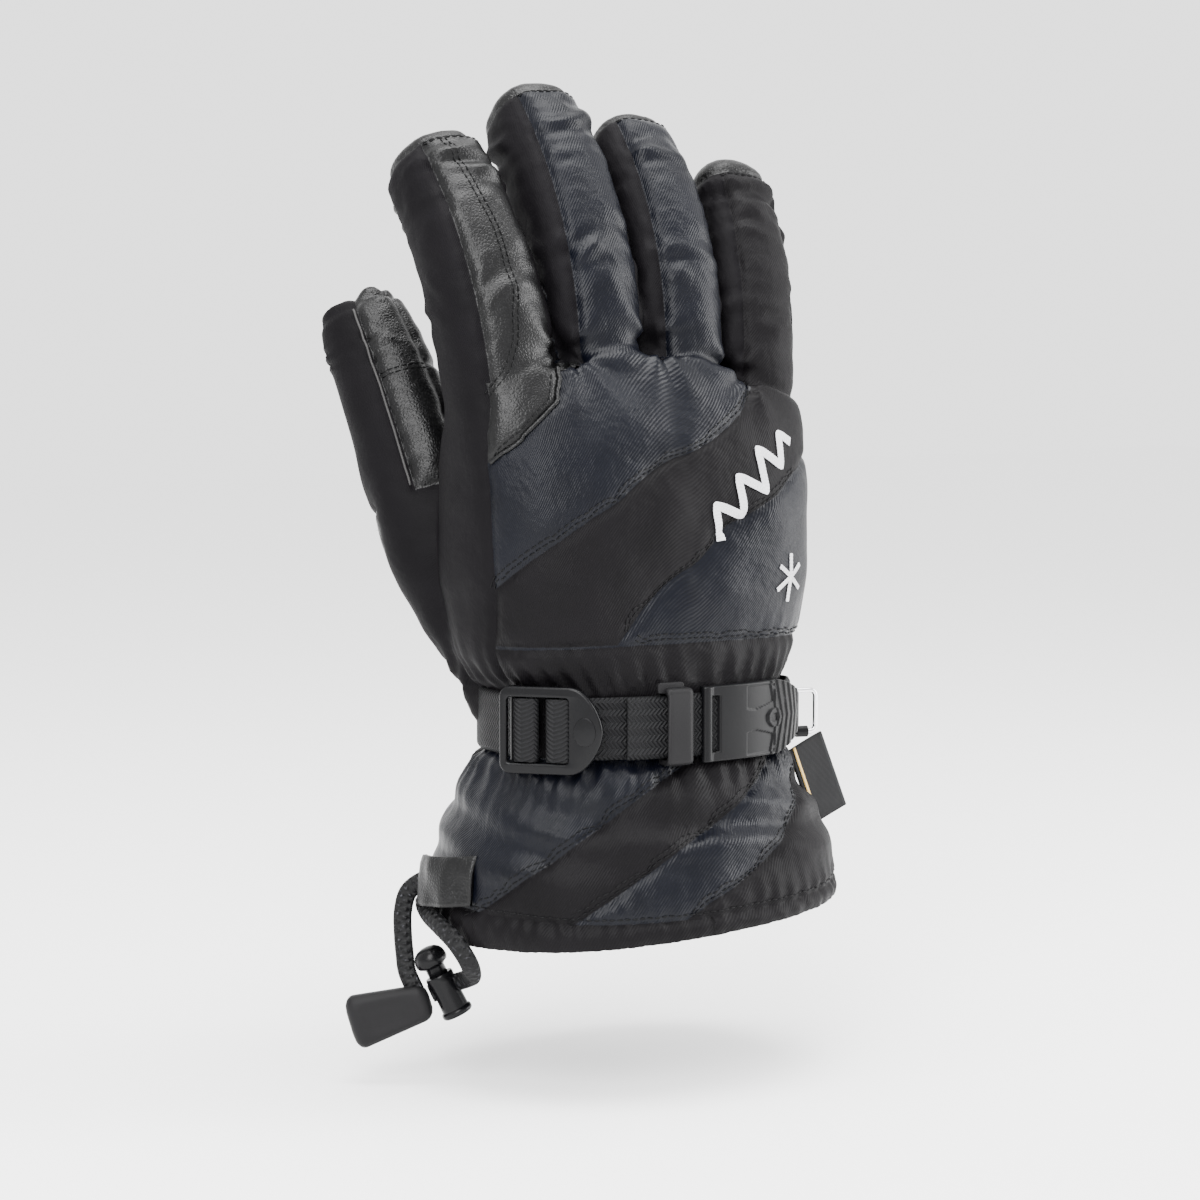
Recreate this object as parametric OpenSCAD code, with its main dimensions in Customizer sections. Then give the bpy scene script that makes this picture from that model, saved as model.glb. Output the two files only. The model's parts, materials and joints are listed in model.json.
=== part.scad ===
// Insulated ski glove, right hand, gauntlet cuff. Millimetres.
// Origin: centre of the cuff mouth. +Z to the fingertips, +X to the little finger, -X to the thumb,
// -Y is the back of the hand and +Y the palm.

/* [Hand and cuff] */
// Half width of the cuff at the hem
cuff_half_w = 70; // [66:1:74]
// Half depth of the cuff at the hem
cuff_half_d = 57; // [52:1:60]
// Half width of the wrist under the strap
wrist_half_w = 51; // [49:1:53]
// Half depth of the wrist under the strap
wrist_half_d = 37; // [36:1:39]
// Half width of the hand across the knuckles
hand_half_w = 64; // [62:1:65]
// Half depth of the hand at its middle
hand_half_d = 36; // [34:1:38]
// Level of the middle of the wrist strap
strap_z = 66; // [64:1:68]
// Height of the hem band
hem_h = 11; // [9:1:13]

/* [Fabric layers] */
// Thickness of the outer shell
shell_t = 1.6; // [1.4:0.1:1.8]
// Thickness of the waterproof insert
insert_t = 0.4; // [0.3:0.1:0.5]
// Thickness of the insulation
wadding_t = 3; // [2.5:0.5:3]
// Thickness of the lining
lining_t = 0.8; // [0.6:0.1:1]
// Free space between two layers
layer_gap = 0.4; // [0.3:0.1:0.5]

/* [Digits] */
// Length of the index finger from its knuckle line
index_l = 83; // [80:1:86]
// Length of the middle finger
middle_l = 94; // [90:1:96]
// Length of the ring finger
ring_l = 88; // [84:1:90]
// Length of the little finger
little_l = 84; // [80:1:86]
// Length of the thumb from its root in the hand
thumb_l = 114; // [112:1:116]

/* [Strap] */
// Width of the webbing
webbing_w = 20; // [19:1:21]
// Thickness of the webbing
webbing_t = 1.5; // [1.2:0.1:1.6]
// Length of the buckle along the strap
buckle_l = 34; // [33:1:36]
// Height of the buckle across the strap
buckle_h = 28; // [27:1:29]
// Radius of the bar that the buckle tilts on
bar_r = 1.9; // [1.8:0.1:2]

/* [Cord] */
// Width of the drawcord
cord_w = 6; // [5:0.5:6]
// Thickness of the drawcord
cord_t = 3; // [2.5:0.5:3]
// Radius of the cord lock's barrel
lock_r = 4.6; // [4.5:0.1:5]
// Travel of the cord lock's plunger
plunger_travel = 3.5; // [3:0.5:3.5]

/* [Hidden] */
DIGITS = ["index", "middle", "ring", "little"];
$fn = 48;

// Directions round the hand in degrees: 0 little finger side, 90 palm, 180 thumb side, 270 back
little_seam = 348;
palm_little_seam = 400;
palm_thumb_seam = 490;
thumb_seam = 556;
back_seam = thumb_seam - 360;
knuckle_seam = 236;
strap_lo = strap_z - webbing_w / 2;
strap_hi = strap_z + webbing_w / 2;
lower_seam = 89;
knuckle_lo = 146;
finger_y = 3;

// The hand's cross-section at each level: half width, half depth, centre, and squareness
HALF_W = [[0, cuff_half_w], [6, cuff_half_w], [22, cuff_half_w - 3], [40, cuff_half_w - 11],
          [52, wrist_half_w + 3], [55, wrist_half_w], [77, wrist_half_w], [80, wrist_half_w + 3],
          [88, hand_half_w - 5], [112, hand_half_w - 1], [137, hand_half_w], [162, hand_half_w],
          [190, hand_half_w - 1]];
HALF_D = [[0, cuff_half_d], [6, cuff_half_d - 1], [22, cuff_half_d - 5], [40, cuff_half_d - 13],
          [52, wrist_half_d + 3], [55, wrist_half_d], [77, wrist_half_d],
          [88, hand_half_d + 1], [112, hand_half_d], [137, hand_half_d - 1], [156, hand_half_d - 4],
          [172, hand_half_d - 9], [190, hand_half_d - 14]];
CENTRE_X = [[0, 5], [22, 4], [40, 3], [56, 4], [strap_z, 4], [87, 2], [190, 2]];
CENTRE_Y = [[0, 0], [137, 0], [190, finger_y]];
SQUARE = [[0, 2.2], [40, 2.3], [76, 2.4], [112, 2.7], [190, 2.8]];
HEM_TILT = [[0, 0.07], [50, 0]];
// Level of the knuckle line across the hand
KNUCKLES = [[-66, 176], [-45, 178], [-28, 183], [-11, 186], [5, 185], [22, 182], [38, 176],
            [52, 170], [68, 166]];

// A digit: name, base point, length, width, depth, splay, lean and curl in degrees, roll of its section
index_f = ["index", [-45.4, finger_y, 178.6], index_l, 33.4, 32, -5, 5, 42, 0];
middle_f = ["middle", [-11.4, finger_y, 186.6], middle_l, 33, 32, 0, 5, 46, 0];
ring_f = ["ring", [21.6, finger_y, 182.6], ring_l, 31.4, 31, 3, 5, 46, 0];
little_f = ["little", [52.3, finger_y, 170.6], little_l, 28.6, 28, 7, 4, 38, 0];
thumb_f = ["thumb", [-50, 25, 97], thumb_l, 36, 32, -5, 19, 14, -30];
FINGERS = [index_f, middle_f, ring_f, little_f];
tip_s = 0.8;
thumb_root_s = 0.36;
// Share of the length where the rings of a digit lie
DIGIT_ROWS = [0, 0.16, 0.32, 0.48, 0.64, tip_s];
TIP_ROWS = [tip_s, 0.88, 0.94, 0.975, 1];

in_insert = shell_t + layer_gap + 0.5;
in_wadding = in_insert + insert_t + layer_gap;
in_lining = in_wadding + wadding_t + layer_gap;

// ---- curves ----
function sgn_pow(v, e) = sign(v) * pow(abs(v), e);
function oval(t, a, b, n) = [a * sgn_pow(cos(t), 2 / n), b * sgn_pow(sin(t), 2 / n)];
function steps(a, b, n) = [for (i = [0:n]) a + (b - a) * i / n];

// A point on the hand at direction t and level z, d millimetres under the outer surface
function hand_xy(t, z, d) =
  let (o = oval(t, lookup(z, HALF_W) - d, lookup(z, HALF_D) - d, lookup(z, SQUARE)))
  [lookup(z, CENTRE_X) + o[0], lookup(z, CENTRE_Y) + o[1]];
function hand_pt(t, z, d) =
  let (p = hand_xy(t, z, d), q = hand_xy(t, z, 0))
  [p[0], p[1], z + lookup(z, HEM_TILT) * q[0]];
function hand_normal(t, z) =
  let (p = hand_xy(t - 1, z, 0), q = hand_xy(t + 1, z, 0))
  atan2(p[0] - q[0], q[1] - p[1]);
// Where the hand's fabric ends, under the knuckles and lower on the palm, where the fingers fold in
function rim_z(t) =
  let (p = hand_xy(t, 172, 0))
  lookup(p[0], KNUCKLES) - 1 - 0.95 * max(0, p[1] - finger_y);
// The two slanted seams across the back, as levels that rise towards the little finger
function upper_seam_z(t) = 104 + 56 * pow((t - back_seam) / (little_seam - back_seam), 0.8);
function middle_seam_z(t) = max(lower_seam + 4, 66 + 76 * (t - back_seam) / (little_seam - back_seam));

// The middle line of a digit and its section axes
function digit_angle(f, s) = f[6] + f[7] * s;
function digit_centre(f, s) =
  let (c = f[7] * PI / 180, a0 = f[6], a1 = digit_angle(f, s), l = f[2], q = f[5])
  f[1] + [l * sin(q) * (sin(a1) - sin(a0)) / c,
          l * (cos(a0) - cos(a1)) / c,
          l * cos(q) * (sin(a1) - sin(a0)) / c];
function digit_ax(f, s) =
  let (a = digit_angle(f, s), q = f[5], r = f[8],
       u = [cos(q), 0, -sin(q)], v = [0, cos(a), -sin(a)])
  u * cos(r) + v * sin(r);
function digit_ay(f, s) =
  let (a = digit_angle(f, s), q = f[5], r = f[8],
       u = [cos(q), 0, -sin(q)], v = [0, cos(a), -sin(a)])
  v * cos(r) - u * sin(r);
// How much of its width a digit keeps: a slow taper, then a round end
function digit_keep(f, s) =
  let (e = (1 - s) * f[2], r = 13)
  (1 - 0.14 * s * s) * (e < r ? max(0.4, sqrt(1 - pow(1 - e / r, 2))) : 1);
function digit_pt(f, t, s, d) =
  let (k = digit_keep(f, s), o = oval(t, f[3] / 2 * k - d, f[4] / 2 * k - d, 2.5),
       top = s > 0.985 ? d : 0)
  digit_centre(f, s - top / f[2]) + digit_ax(f, s) * o[0] + digit_ay(f, s) * o[1];

// ---- thin walls ----
// A wall between two grids of points. Each grid is a list of rows, and each row a list of points.
// ring joins the rows' ends, cap closes the last row, and lean splits each cell along its other diagonal.
module wall(outer, inner, ring = false, cap = false, lean = false) {
  rows = len(outer);
  cols = len(outer[0]);
  last = ring ? cols : cols - 1;
  pts = concat([for (r = outer) each r], [for (r = inner) each r]);
  n = rows * cols;
  function o(j, i) = j * cols + i % cols;
  function q(j, i) = n + j * cols + i % cols;
  skin = [for (j = [0:rows - 2]) for (i = [0:last - 1]) each (lean
    ? [[o(j, i), o(j + 1, i), o(j, i + 1)], [o(j + 1, i), o(j + 1, i + 1), o(j, i + 1)],
       [q(j, i), q(j, i + 1), q(j + 1, i)], [q(j + 1, i), q(j, i + 1), q(j + 1, i + 1)]]
    : [[o(j, i), o(j + 1, i), o(j + 1, i + 1)], [o(j, i), o(j + 1, i + 1), o(j, i + 1)],
       [q(j, i), q(j, i + 1), q(j + 1, i + 1)], [q(j, i), q(j + 1, i + 1), q(j + 1, i)]])];
  bottom = [for (i = [0:last - 1]) each [
    [o(0, i), o(0, i + 1), q(0, i + 1)], [o(0, i), q(0, i + 1), q(0, i)]]];
  e = rows - 1;
  top = cap
    ? concat([[for (i = [cols - 1:-1:0]) o(e, i)]], [[for (i = [0:cols - 1]) q(e, i)]])
    : [for (i = [0:last - 1]) each [
        [o(e, i), q(e, i + 1), o(e, i + 1)], [o(e, i), q(e, i), q(e, i + 1)]]];
  c = cols - 1;
  sides = ring ? [] : [for (j = [0:rows - 2]) each [
    [o(j, 0), q(j, 0), q(j + 1, 0)], [o(j, 0), q(j + 1, 0), o(j + 1, 0)],
    [o(j, c), q(j + 1, c), q(j, c)], [o(j, c), o(j + 1, c), q(j + 1, c)]]];
  polyhedron(points = pts, faces = concat(skin, bottom, top, sides), convexity = 6);
}

// A panel of the hand between directions t0 and t1; lo and hi are its levels at each direction
module hand_panel(ts, lo, hi, rows, d0 = 0, d1 = shell_t, ring = false) {
  function grid(d) = [for (j = [0:rows]) [for (i = [0:len(ts) - 1])
    hand_pt(ts[i], lo[i] + (hi[i] - lo[i]) * j / rows, d)]];
  wall(grid(d0), grid(d1), ring);
}

// A panel of a digit between directions t0 and t1, over the given rows
module digit_panel(f, ts, rows, d0 = 0, d1 = shell_t, ring = false, cap = false) {
  function grid(d) = [for (s = rows) [for (t = ts) digit_pt(f, t, s, d)]];
  wall(grid(d0), grid(d1), ring, cap);
}
function level(ts, z) = [for (t = ts) z];
function round_turn(n) = [for (i = [0:n - 1]) i * 360 / n];

// A closed solid through a list of rings
module solid_through(rings) {
  rows = len(rings);
  cols = len(rings[0]);
  function o(j, i) = j * cols + i % cols;
  skin = [for (j = [0:rows - 2]) for (i = [0:cols - 1]) each [
    [o(j, i), o(j + 1, i), o(j + 1, i + 1)], [o(j, i), o(j + 1, i + 1), o(j, i + 1)]]];
  ends = [[for (i = [0:cols - 1]) o(0, i)], [for (i = [cols - 1:-1:0]) o(rows - 1, i)]];
  polyhedron(points = [for (r = rings) each r], faces = concat(skin, ends), convexity = 6);
}

// ---- the hand's shell ----
back_ts = steps(back_seam, little_seam, 14);
knuckle_ts = [for (t = back_ts) if (t <= knuckle_seam + 6) min(t, knuckle_seam + 2.6)];
upper_ts = [for (t = back_ts) if (t >= knuckle_seam - 5) t];
function tops(ts) = [for (t = ts) rim_z(t)];
function uppers(ts) = [for (t = ts) upper_seam_z(t)];
function middles(ts) = [for (t = ts) middle_seam_z(t)];

module back_upper_panel() {
  color([0.07, 0.07, 0.1]) {
    hand_panel(upper_ts, uppers(upper_ts), tops(upper_ts), 4);
    hand_panel(knuckle_ts, uppers(knuckle_ts), level(knuckle_ts, knuckle_lo), 2);
  }
}
module knuckle_leather() {
  color([0.06, 0.06, 0.06]) hand_panel(knuckle_ts, level(knuckle_ts, knuckle_lo), tops(knuckle_ts), 3);
}
module back_band() {
  color([0.1, 0.09, 0.1]) hand_panel(back_ts, middles(back_ts), uppers(back_ts), 3);
}
module back_lower_panel() {
  color([0.06, 0.07, 0.1]) hand_panel(back_ts, level(back_ts, lower_seam), middles(back_ts), 3);
}
module wrist_back_panel() {
  color([0.1, 0.09, 0.1]) hand_panel(back_ts, level(back_ts, strap_lo), level(back_ts, lower_seam), 3);
}
module wrist_elastic_panel() {
  ts = steps(little_seam, thumb_seam, 18);
  color([0.08, 0.08, 0.09]) hand_panel(ts, level(ts, strap_lo), level(ts, strap_hi), 2);
}
module thumb_passage() {
  ring = [for (i = [0:15]) i * 22.5];
  // Wider above the root, where the thumb moves beside the palm
  solid_through([for (s = [-0.12, 0.1, 0.3, 0.345, 0.65]) [for (t = ring) digit_pt(thumb_f, t, s, s < 0.32 ? 3 : -1.6)]]);
}
module thumb_side_panel() {
  ts = steps(palm_thumb_seam, thumb_seam - 0.5, 8);
  color([0.12, 0.1, 0.12]) difference() {
    hand_panel(ts, level(ts, strap_hi), tops(ts), 7);
    thumb_passage();
  }
}
module little_side_panel() {
  ts = steps(little_seam, palm_little_seam, 5);
  color([0.1, 0.09, 0.1]) hand_panel(ts, level(ts, strap_hi), tops(ts), 6);
}
module palm_leather() {
  ts = steps(palm_little_seam, palm_thumb_seam, 9);
  color([0.07, 0.07, 0.07]) difference() {
    hand_panel(ts, level(ts, strap_hi), tops(ts), 6);
    thumb_passage();
  }
}

// ---- the cuff: seams run down and towards the thumb, so each panel is sheared ----
cuff_shear = 1.75;
cuff_seams = [285, 322, 358, 520, 645];
module cuff_panel(k, n) {
  rows = 8;
  function grid(d) = [for (j = [0:rows])
    let (z = hem_h + (strap_lo - hem_h) * j / rows)
    [for (t = steps(cuff_seams[k], cuff_seams[k + 1], n)) hand_pt(t - cuff_shear * (strap_lo - z), z, d)]];
  wall(grid(0), grid(shell_t), lean = true);
}
module cuff_front_panel() { color([0.1, 0.09, 0.1]) cuff_panel(0, 4); }
module cuff_side_panel() { color([0.06, 0.07, 0.1]) cuff_panel(1, 4); }
module cuff_palm_panel() { color([0.1, 0.09, 0.1]) cuff_panel(2, 14); }
module cuff_thumb_panel() { color([0.06, 0.07, 0.1]) cuff_panel(3, 11); }
module hem_band() {
  ts = round_turn(32);
  color([0.09, 0.08, 0.09]) hand_panel(ts, level(ts, 0), level(ts, hem_h), 1, ring = true);
}

// ---- the layers inside ----
inner_ts = round_turn(36);
INNER_LEVELS = [22, 34, 45, 52, 55.5, 76.5, 80, 88, 100, 112, 125, 137];
module inner_layer(lo, hi, d0, d1) {
  levels = concat(lo, [for (z = INNER_LEVELS) if (z > lo && z < hi) z], hi);
  function grid(d) = [for (z = levels) [for (t = inner_ts) hand_pt(t, z, d)]];
  wall(grid(d0), grid(d1), ring = true);
}
module waterproof_insert() {
  color([0.85, 0.85, 0.85]) difference() {
    inner_layer(14, 146, in_insert, in_insert + insert_t);
    thumb_passage();
  }
}
module insulation() {
  color([0.9, 0.9, 0.88]) difference() {
    inner_layer(16, 144, in_wadding, in_wadding + wadding_t);
    thumb_passage();
  }
}
module hand_lining() {
  color([0.15, 0.15, 0.16]) difference() {
    inner_layer(4, 142, in_lining, in_lining + lining_t);
    thumb_passage();
  }
}

// ---- the digits ----
back_sector = steps(215, 325, 6);
palm_sector = steps(35, 145, 6);
left_sector = steps(145, 215, 4);
right_sector = steps(325, 395, 4);
function but_last(v) = [for (i = [0:len(v) - 2]) v[i]];
digit_turn = concat(but_last(palm_sector), but_last(left_sector), but_last(back_sector),
                    but_last(right_sector));
lining_in = shell_t + layer_gap;
lining_out = lining_in + 2.5;

module digit_part(f, part) {
  if (part == "_back") color([0.07, 0.07, 0.1]) digit_panel(f, back_sector, DIGIT_ROWS);
  if (part == "_palm") color([0.06, 0.06, 0.06]) digit_panel(f, palm_sector, DIGIT_ROWS);
  if (part == "_sides") color([0.12, 0.1, 0.12]) {
    digit_panel(f, left_sector, DIGIT_ROWS);
    digit_panel(f, right_sector, DIGIT_ROWS);
  }
  if (part == "_tip") color([0.05, 0.05, 0.05])
    digit_panel(f, digit_turn, TIP_ROWS, ring = true, cap = true);
  if (part == "_lining") color([0.15, 0.15, 0.16])
    digit_panel(f, round_turn(14), [0.01, 0.2, 0.4, 0.6, 0.8, 0.92], lining_in, lining_out,
                ring = true, cap = true);
}

thumb_rows = steps(thumb_root_s, tip_s, 4);
// The thumb's root is wider than the thumb, which tilts inside its mouth
root_d = -2.4;
module thumb_base() {
  rows = steps(0, thumb_root_s - 0.03, 4);
  // The root draws in towards its lower end, where it runs into the hand
  function grid(d) = [for (s = rows) [for (t = digit_turn)
    digit_pt(thumb_f, t, s, root_d + 7 * pow(1 - s / thumb_root_s, 2) + d)]];
  color([0.1, 0.09, 0.1]) difference() {
    wall(grid(0), grid(shell_t), ring = true);
    solid_through([for (z = [60:10:180]) [for (t = round_turn(36)) hand_pt(t, z, -0.5)]]);
  }
}
module thumb_outer() {
  color([0.1, 0.09, 0.1]) digit_panel(thumb_f, steps(125, 305, 10), thumb_rows);
}
module thumb_inner() {
  color([0.06, 0.06, 0.06]) {
    digit_panel(thumb_f, steps(-55, 125, 10), thumb_rows);
    digit_panel(thumb_f, [for (i = [0:19]) -55 + 18 * i], TIP_ROWS, ring = true, cap = true);
  }
}
module thumb_lining() {
  color([0.15, 0.15, 0.16])
    digit_panel(thumb_f, round_turn(14), [thumb_root_s + 0.02, 0.5, 0.65, 0.8, 0.93], lining_in,
                lining_out, ring = true, cap = true);
}

// ---- the wrist strap ----
strap_d = 2.4;
tail_d = 4.3;
buckle_t = 215;
keeper_t = 262;
tail_end_t = 267.5;
bar_x = 3;
bar_y = -13.5;
plate_x = 6.4;
plate_t = 2.8;
// Local frame on the strap's middle line: X out of the hand, Y along the strap, Z up
module on_strap(t, z = strap_z) {
  translate(hand_pt(t, z, 0)) rotate([0, 0, hand_normal(t, z)]) children();
}
// A strip over the hand: at each direction it lies ds above the surface and reaches hs up and down
module strip(ts, ds, hs, th) {
  function grid(k) = [for (j = [-1:1]) [for (i = [0:len(ts) - 1])
    hand_pt(ts[i], strap_z + j * hs[i], -ds[i] - k)]];
  wall(grid(th), grid(0));
}
module strap_anchor() {
  ts = steps(160, 193.5, 8);
  color([0.1, 0.1, 0.1]) difference() {
    union() {
      strip(ts, [for (t = ts) 0.4 + 1.2 * pow((t - 160) / 33.5, 3)], level(ts, webbing_w / 2), webbing_t);
      on_strap(buckle_t) translate([bar_x, bar_y, 0])
        cylinder(r = bar_r + 1.3, h = webbing_w, center = true);
    }
    on_strap(buckle_t) translate([bar_x, bar_y, 0])
      cylinder(r = bar_r + 0.05, h = webbing_w + 4, center = true);
  }
}
module strap_webbing() {
  ts = concat(steps(227, 340, 14), [346, 352, 360, 370]);
  color([0.1, 0.1, 0.1])
    strip(ts, [for (t = ts) t > 341 ? 0.4 : strap_d], level(ts, webbing_w / 2), webbing_t);
}
module strap_tail() {
  ts = steps(244, tail_end_t, 4);
  color([0.1, 0.1, 0.1]) strip(ts, level(ts, tail_d), level(ts, webbing_w / 2), webbing_t);
}
module buckle_frame() {
  h = buckle_h / 2;
  c = 2.6;
  window_h = webbing_w + 1.2;
  color([0.13, 0.13, 0.14]) on_strap(buckle_t) {
    translate([plate_x, 0, 0]) rotate([90, 0, 90]) linear_extrude(plate_t) difference() {
      hull() {
        for (k = [-1, 1]) translate([-buckle_l / 2 + c, k * (h - c)]) circle(c);
        for (k = [-1, 1]) translate([6, k * (h - c)]) circle(c);
        translate([buckle_l / 2 - 6, 0]) circle(6);
      }
      translate([-13, -window_h / 2]) square([19, window_h]);
    }
    translate([plate_x + 1.2, -4, 0]) cylinder(r = 1.2, h = window_h + 2, center = true);
    for (k = [-1, 1]) translate([bar_x - 1.9, bar_y - 2.6, k * (h - 1.6) - 1.6])
      cube([plate_x - bar_x + 2.3, 5.2, 3.2]);
    translate([bar_x, bar_y, 0]) cylinder(r = bar_r, h = buckle_h - 3, center = true);
  }
}
module webbing_wraps() {
  color([0.1, 0.1, 0.11]) on_strap(buckle_t) for (y = [-12.7, -2.4])
    translate([plate_x + 0.2, y, -webbing_w / 2]) linear_extrude(webbing_w)
      square([2.4, y < -5 ? 7.1 : 8]);
}
module strap_keeper() {
  in_h = webbing_w + 1.2;
  out_h = webbing_w + 3;
  color([0.1, 0.1, 0.1]) on_strap(keeper_t) difference() {
    translate([0.9, -4, -out_h / 2]) cube([7.1, 8, out_h]);
    translate([1.7, -5, -in_h / 2]) cube([4.8, 10, in_h]);
  }
}
module pull_tab() {
  ts = steps(270.3, 331, 9);
  function half(t) = t < 303 ? 12.4 : 12.4 - 8 * pow((t - 303) / 28, 1.2);
  color([0.05, 0.05, 0.05]) strip(ts, level(ts, tail_d), [for (t = ts) half(t)], 3);
}

// ---- clip, label ----
clip_t = 347;
clip_z = 63;
clip_x = 6.5;
wire_r = 0.9;
ring_w = 9;
ring_h = 14;
ring_c = 2;
module clip_loop() {
  color([0.08, 0.08, 0.08]) on_strap(clip_t, clip_z) difference() {
    union() {
      translate([2.1, -1.6, -4.5]) cube([3, 3.2, 9]);
      translate([clip_x, 0, 0]) cylinder(r = 2.2, h = 9, center = true);
    }
    translate([clip_x, 0, 0]) cylinder(r = wire_r + 0.05, h = 12, center = true);
  }
}
module clip_ring() {
  hx = ring_w - 2 * ring_c;
  hz = ring_h - 2 * ring_c;
  color([0.75, 0.75, 0.76]) on_strap(clip_t, clip_z) {
    for (x = [0, ring_w]) translate([clip_x + x, 0, 0]) cylinder(r = wire_r, h = hz, center = true);
    for (k = [-1, 1]) translate([clip_x + ring_c, 0, k * ring_h / 2]) rotate([0, 90, 0])
      cylinder(r = wire_r, h = hx);
    for (x = [0, 1]) for (k = [0, 1])
      translate([clip_x + (x == 0 ? ring_c : ring_w - ring_c), 0, (k == 0 ? -1 : 1) * hz / 2])
        rotate([90, k == 0 ? (x == 0 ? 180 : 90) : (x == 0 ? 270 : 0), 0])
          rotate_extrude(angle = 90) translate([ring_c, 0]) circle(wire_r);
  }
}
module clip_collar() {
  color([0.06, 0.06, 0.06]) on_strap(clip_t, clip_z)
    translate([clip_x + ring_c, 0, -ring_h / 2]) rotate([0, 90, 0]) difference() {
      cylinder(r = 1.9, h = 4);
      translate([0, 0, -1]) cylinder(r = wire_r, h = 6);
    }
}
module side_label() {
  color([0.04, 0.04, 0.04]) translate(hand_pt(350, 35, -2.2)) rotate([0, -22, 4])
    translate([0, -0.4, -14]) cube([15, 0.8, 28]);
}

// ---- the drawcord; it hangs in a frame turned about Z, so that the two legs hang side by side ----
hang_turn = -33;
// The front leg, from under the leather tab to the end pull
FRONT_ROUTE = [[-61, -29, 14.5], [-62.6, -26, 14.3], [-64.6, -23.4, 13.6], [-67, -21.6, 12],
               [-69.6, -20.8, 9.4], [-71, -20.6, 6.3], [-71.4, -20.7, 3], [-71.5, -21, -0.5],
               [-71.4, -21.4, -4], [-71.2, -21.9, -7.4], [-70.8, -22.5, -10.6],
               [-70.4, -23.2, -13.6], [-69.9, -24, -16.3], [-69, -24.8, -18.8], [-67.9, -25.4, -20.8],
               [-67, -25.9, -22.4]];
// The rear leg, from its eyelet in the hem through the cord lock to the end pull
REAR_ROUTE = [[-64.6, -18, 6.6], [-64.5, -20.5, 6], [-64.1, -23.5, 5.3], [-63.3, -27, 4.5],
              [-62, -31, 3.5], [-60, -34.5, 2.6], [-58.4, -38, 1.5], [-55.8, -41.5, -0.3],
              [-53, -44, -2.8], [-50.6, -45, -5.9], [-48.9, -44.4, -9.2], [-48.1, -42, -12.2],
              [-48.1, -38.4, -14.7], [-48.9, -34.4, -16.4], [-50.4, -30.6, -17.4],
              [-52.4, -27.9, -18.4], [-54.8, -26.5, -19.7], [-57.5, -26, -21], [-60, -26, -22.2],
              [-62, -26, -23.2]];
function unit(v) = v / norm(v);
module drawcord(route) {
  n = len(route) - 1;
  rings = [for (i = [0:n])
    let (t = unit(route[min(i + 1, n)] - route[max(i - 1, 0)]), u = unit(cross(t, [0, -1, 0])),
         v = cross(t, u))
    [for (k = [0:7]) route[i] + u * cord_w / 2 * cos(k * 45) + v * cord_t / 2 * sin(k * 45)]];
  color([0.09, 0.09, 0.1]) rotate([0, 0, hang_turn]) solid_through(rings);
}
module drawcord_front() { drawcord(FRONT_ROUTE); }
module drawcord_rear() { drawcord(REAR_ROUTE); }
module cord_tab() {
  ts = steps(166, 190, 6);
  lift = [for (t = ts) t < 183 ? cord_t + 4.2 : 2.8];
  function grid(k) = [for (z = [10, 23]) [for (i = [0:6]) hand_pt(ts[i], z, -lift[i] - k)]];
  color([0.07, 0.07, 0.07]) wall(grid(1), grid(0));
}

lock_at = [-57.5, -26, -21];
lock_tilt = -26.6;
stem_r = 3.2;
barrel_top = 4.5;
barrel_floor = -8.9;
module in_lock() {
  rotate([0, 0, hang_turn]) translate(lock_at) rotate([0, lock_tilt, 0]) children();
}
module lock_barrel() {
  color([0.1, 0.1, 0.11]) in_lock() difference() {
    union() {
      translate([0, 0, barrel_floor - 0.9]) cylinder(r = lock_r + 0.5, h = 1.8);
      translate([0, 0, barrel_floor]) cylinder(r = lock_r, h = barrel_top - barrel_floor);
    }
    translate([0, 0, barrel_floor]) cylinder(r = stem_r + 0.06, h = 20);
    cube([14, cord_t + 0.8, cord_w + 1.4], center = true);
  }
}
module lock_plunger() {
  head_z = barrel_top + plunger_travel + 0.4;
  color([0.08, 0.08, 0.08]) in_lock() {
    difference() {
      translate([0, 0, -1.9]) cylinder(r = stem_r, h = head_z + 2);
      translate([-5, -(cord_t + 0.8) / 2, -3]) cube([10, cord_t + 0.8, 3 + cord_w / 2 + plunger_travel + 0.4]);
    }
    translate([0, 0, head_z]) rotate_extrude() intersection() {
      scale([5.4, 5.4]) union() {
        translate([0, 0.15]) circle(1);
        square([0.96, 0.2]);
      }
      square([6, 7]);
    }
  }
}
module lock_spring() {
  color([0.7, 0.7, 0.7]) in_lock() for (k = [0:2])
    translate([0, 0, barrel_floor + 0.6 + k * 1.1]) rotate_extrude() translate([2.4, 0]) circle(0.5, $fn = 16);
}
module cord_end_pull() {
  color([0.12, 0.12, 0.12]) rotate([0, 0, hang_turn]) translate([-62.2, -26, -25.4])
    rotate([0, -16.6, 0]) hull() {
      for (k = [-1, 1]) translate([-4, 0, k * 1.8]) sphere(3.9, $fn = 20);
      for (k = [-1, 1]) translate([-23.4, 0, k * 5]) sphere(4.1, $fn = 20);
    }
}

back_upper_panel();
knuckle_leather();
back_band();
back_lower_panel();
wrist_back_panel();
wrist_elastic_panel();
thumb_side_panel();
little_side_panel();
palm_leather();
cuff_thumb_panel();
cuff_front_panel();
cuff_side_panel();
cuff_palm_panel();
hem_band();
waterproof_insert();
insulation();
hand_lining();
thumb_base();
for (f = FINGERS) for (part = ["_back", "_palm", "_sides", "_tip", "_lining"])
  digit_part(f, part);
thumb_outer();
thumb_inner();
thumb_lining();
strap_anchor();
strap_webbing();
strap_tail();
buckle_frame();
webbing_wraps();
strap_keeper();
pull_tab();
clip_loop();
clip_ring();
clip_collar();
side_label();
cord_tab();
drawcord_front();
drawcord_rear();
lock_barrel();
lock_plunger();
lock_spring();
cord_end_pull();
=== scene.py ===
"""Insulated ski glove, right hand: the cloth, leather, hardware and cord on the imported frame."""

import json
import math

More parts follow.
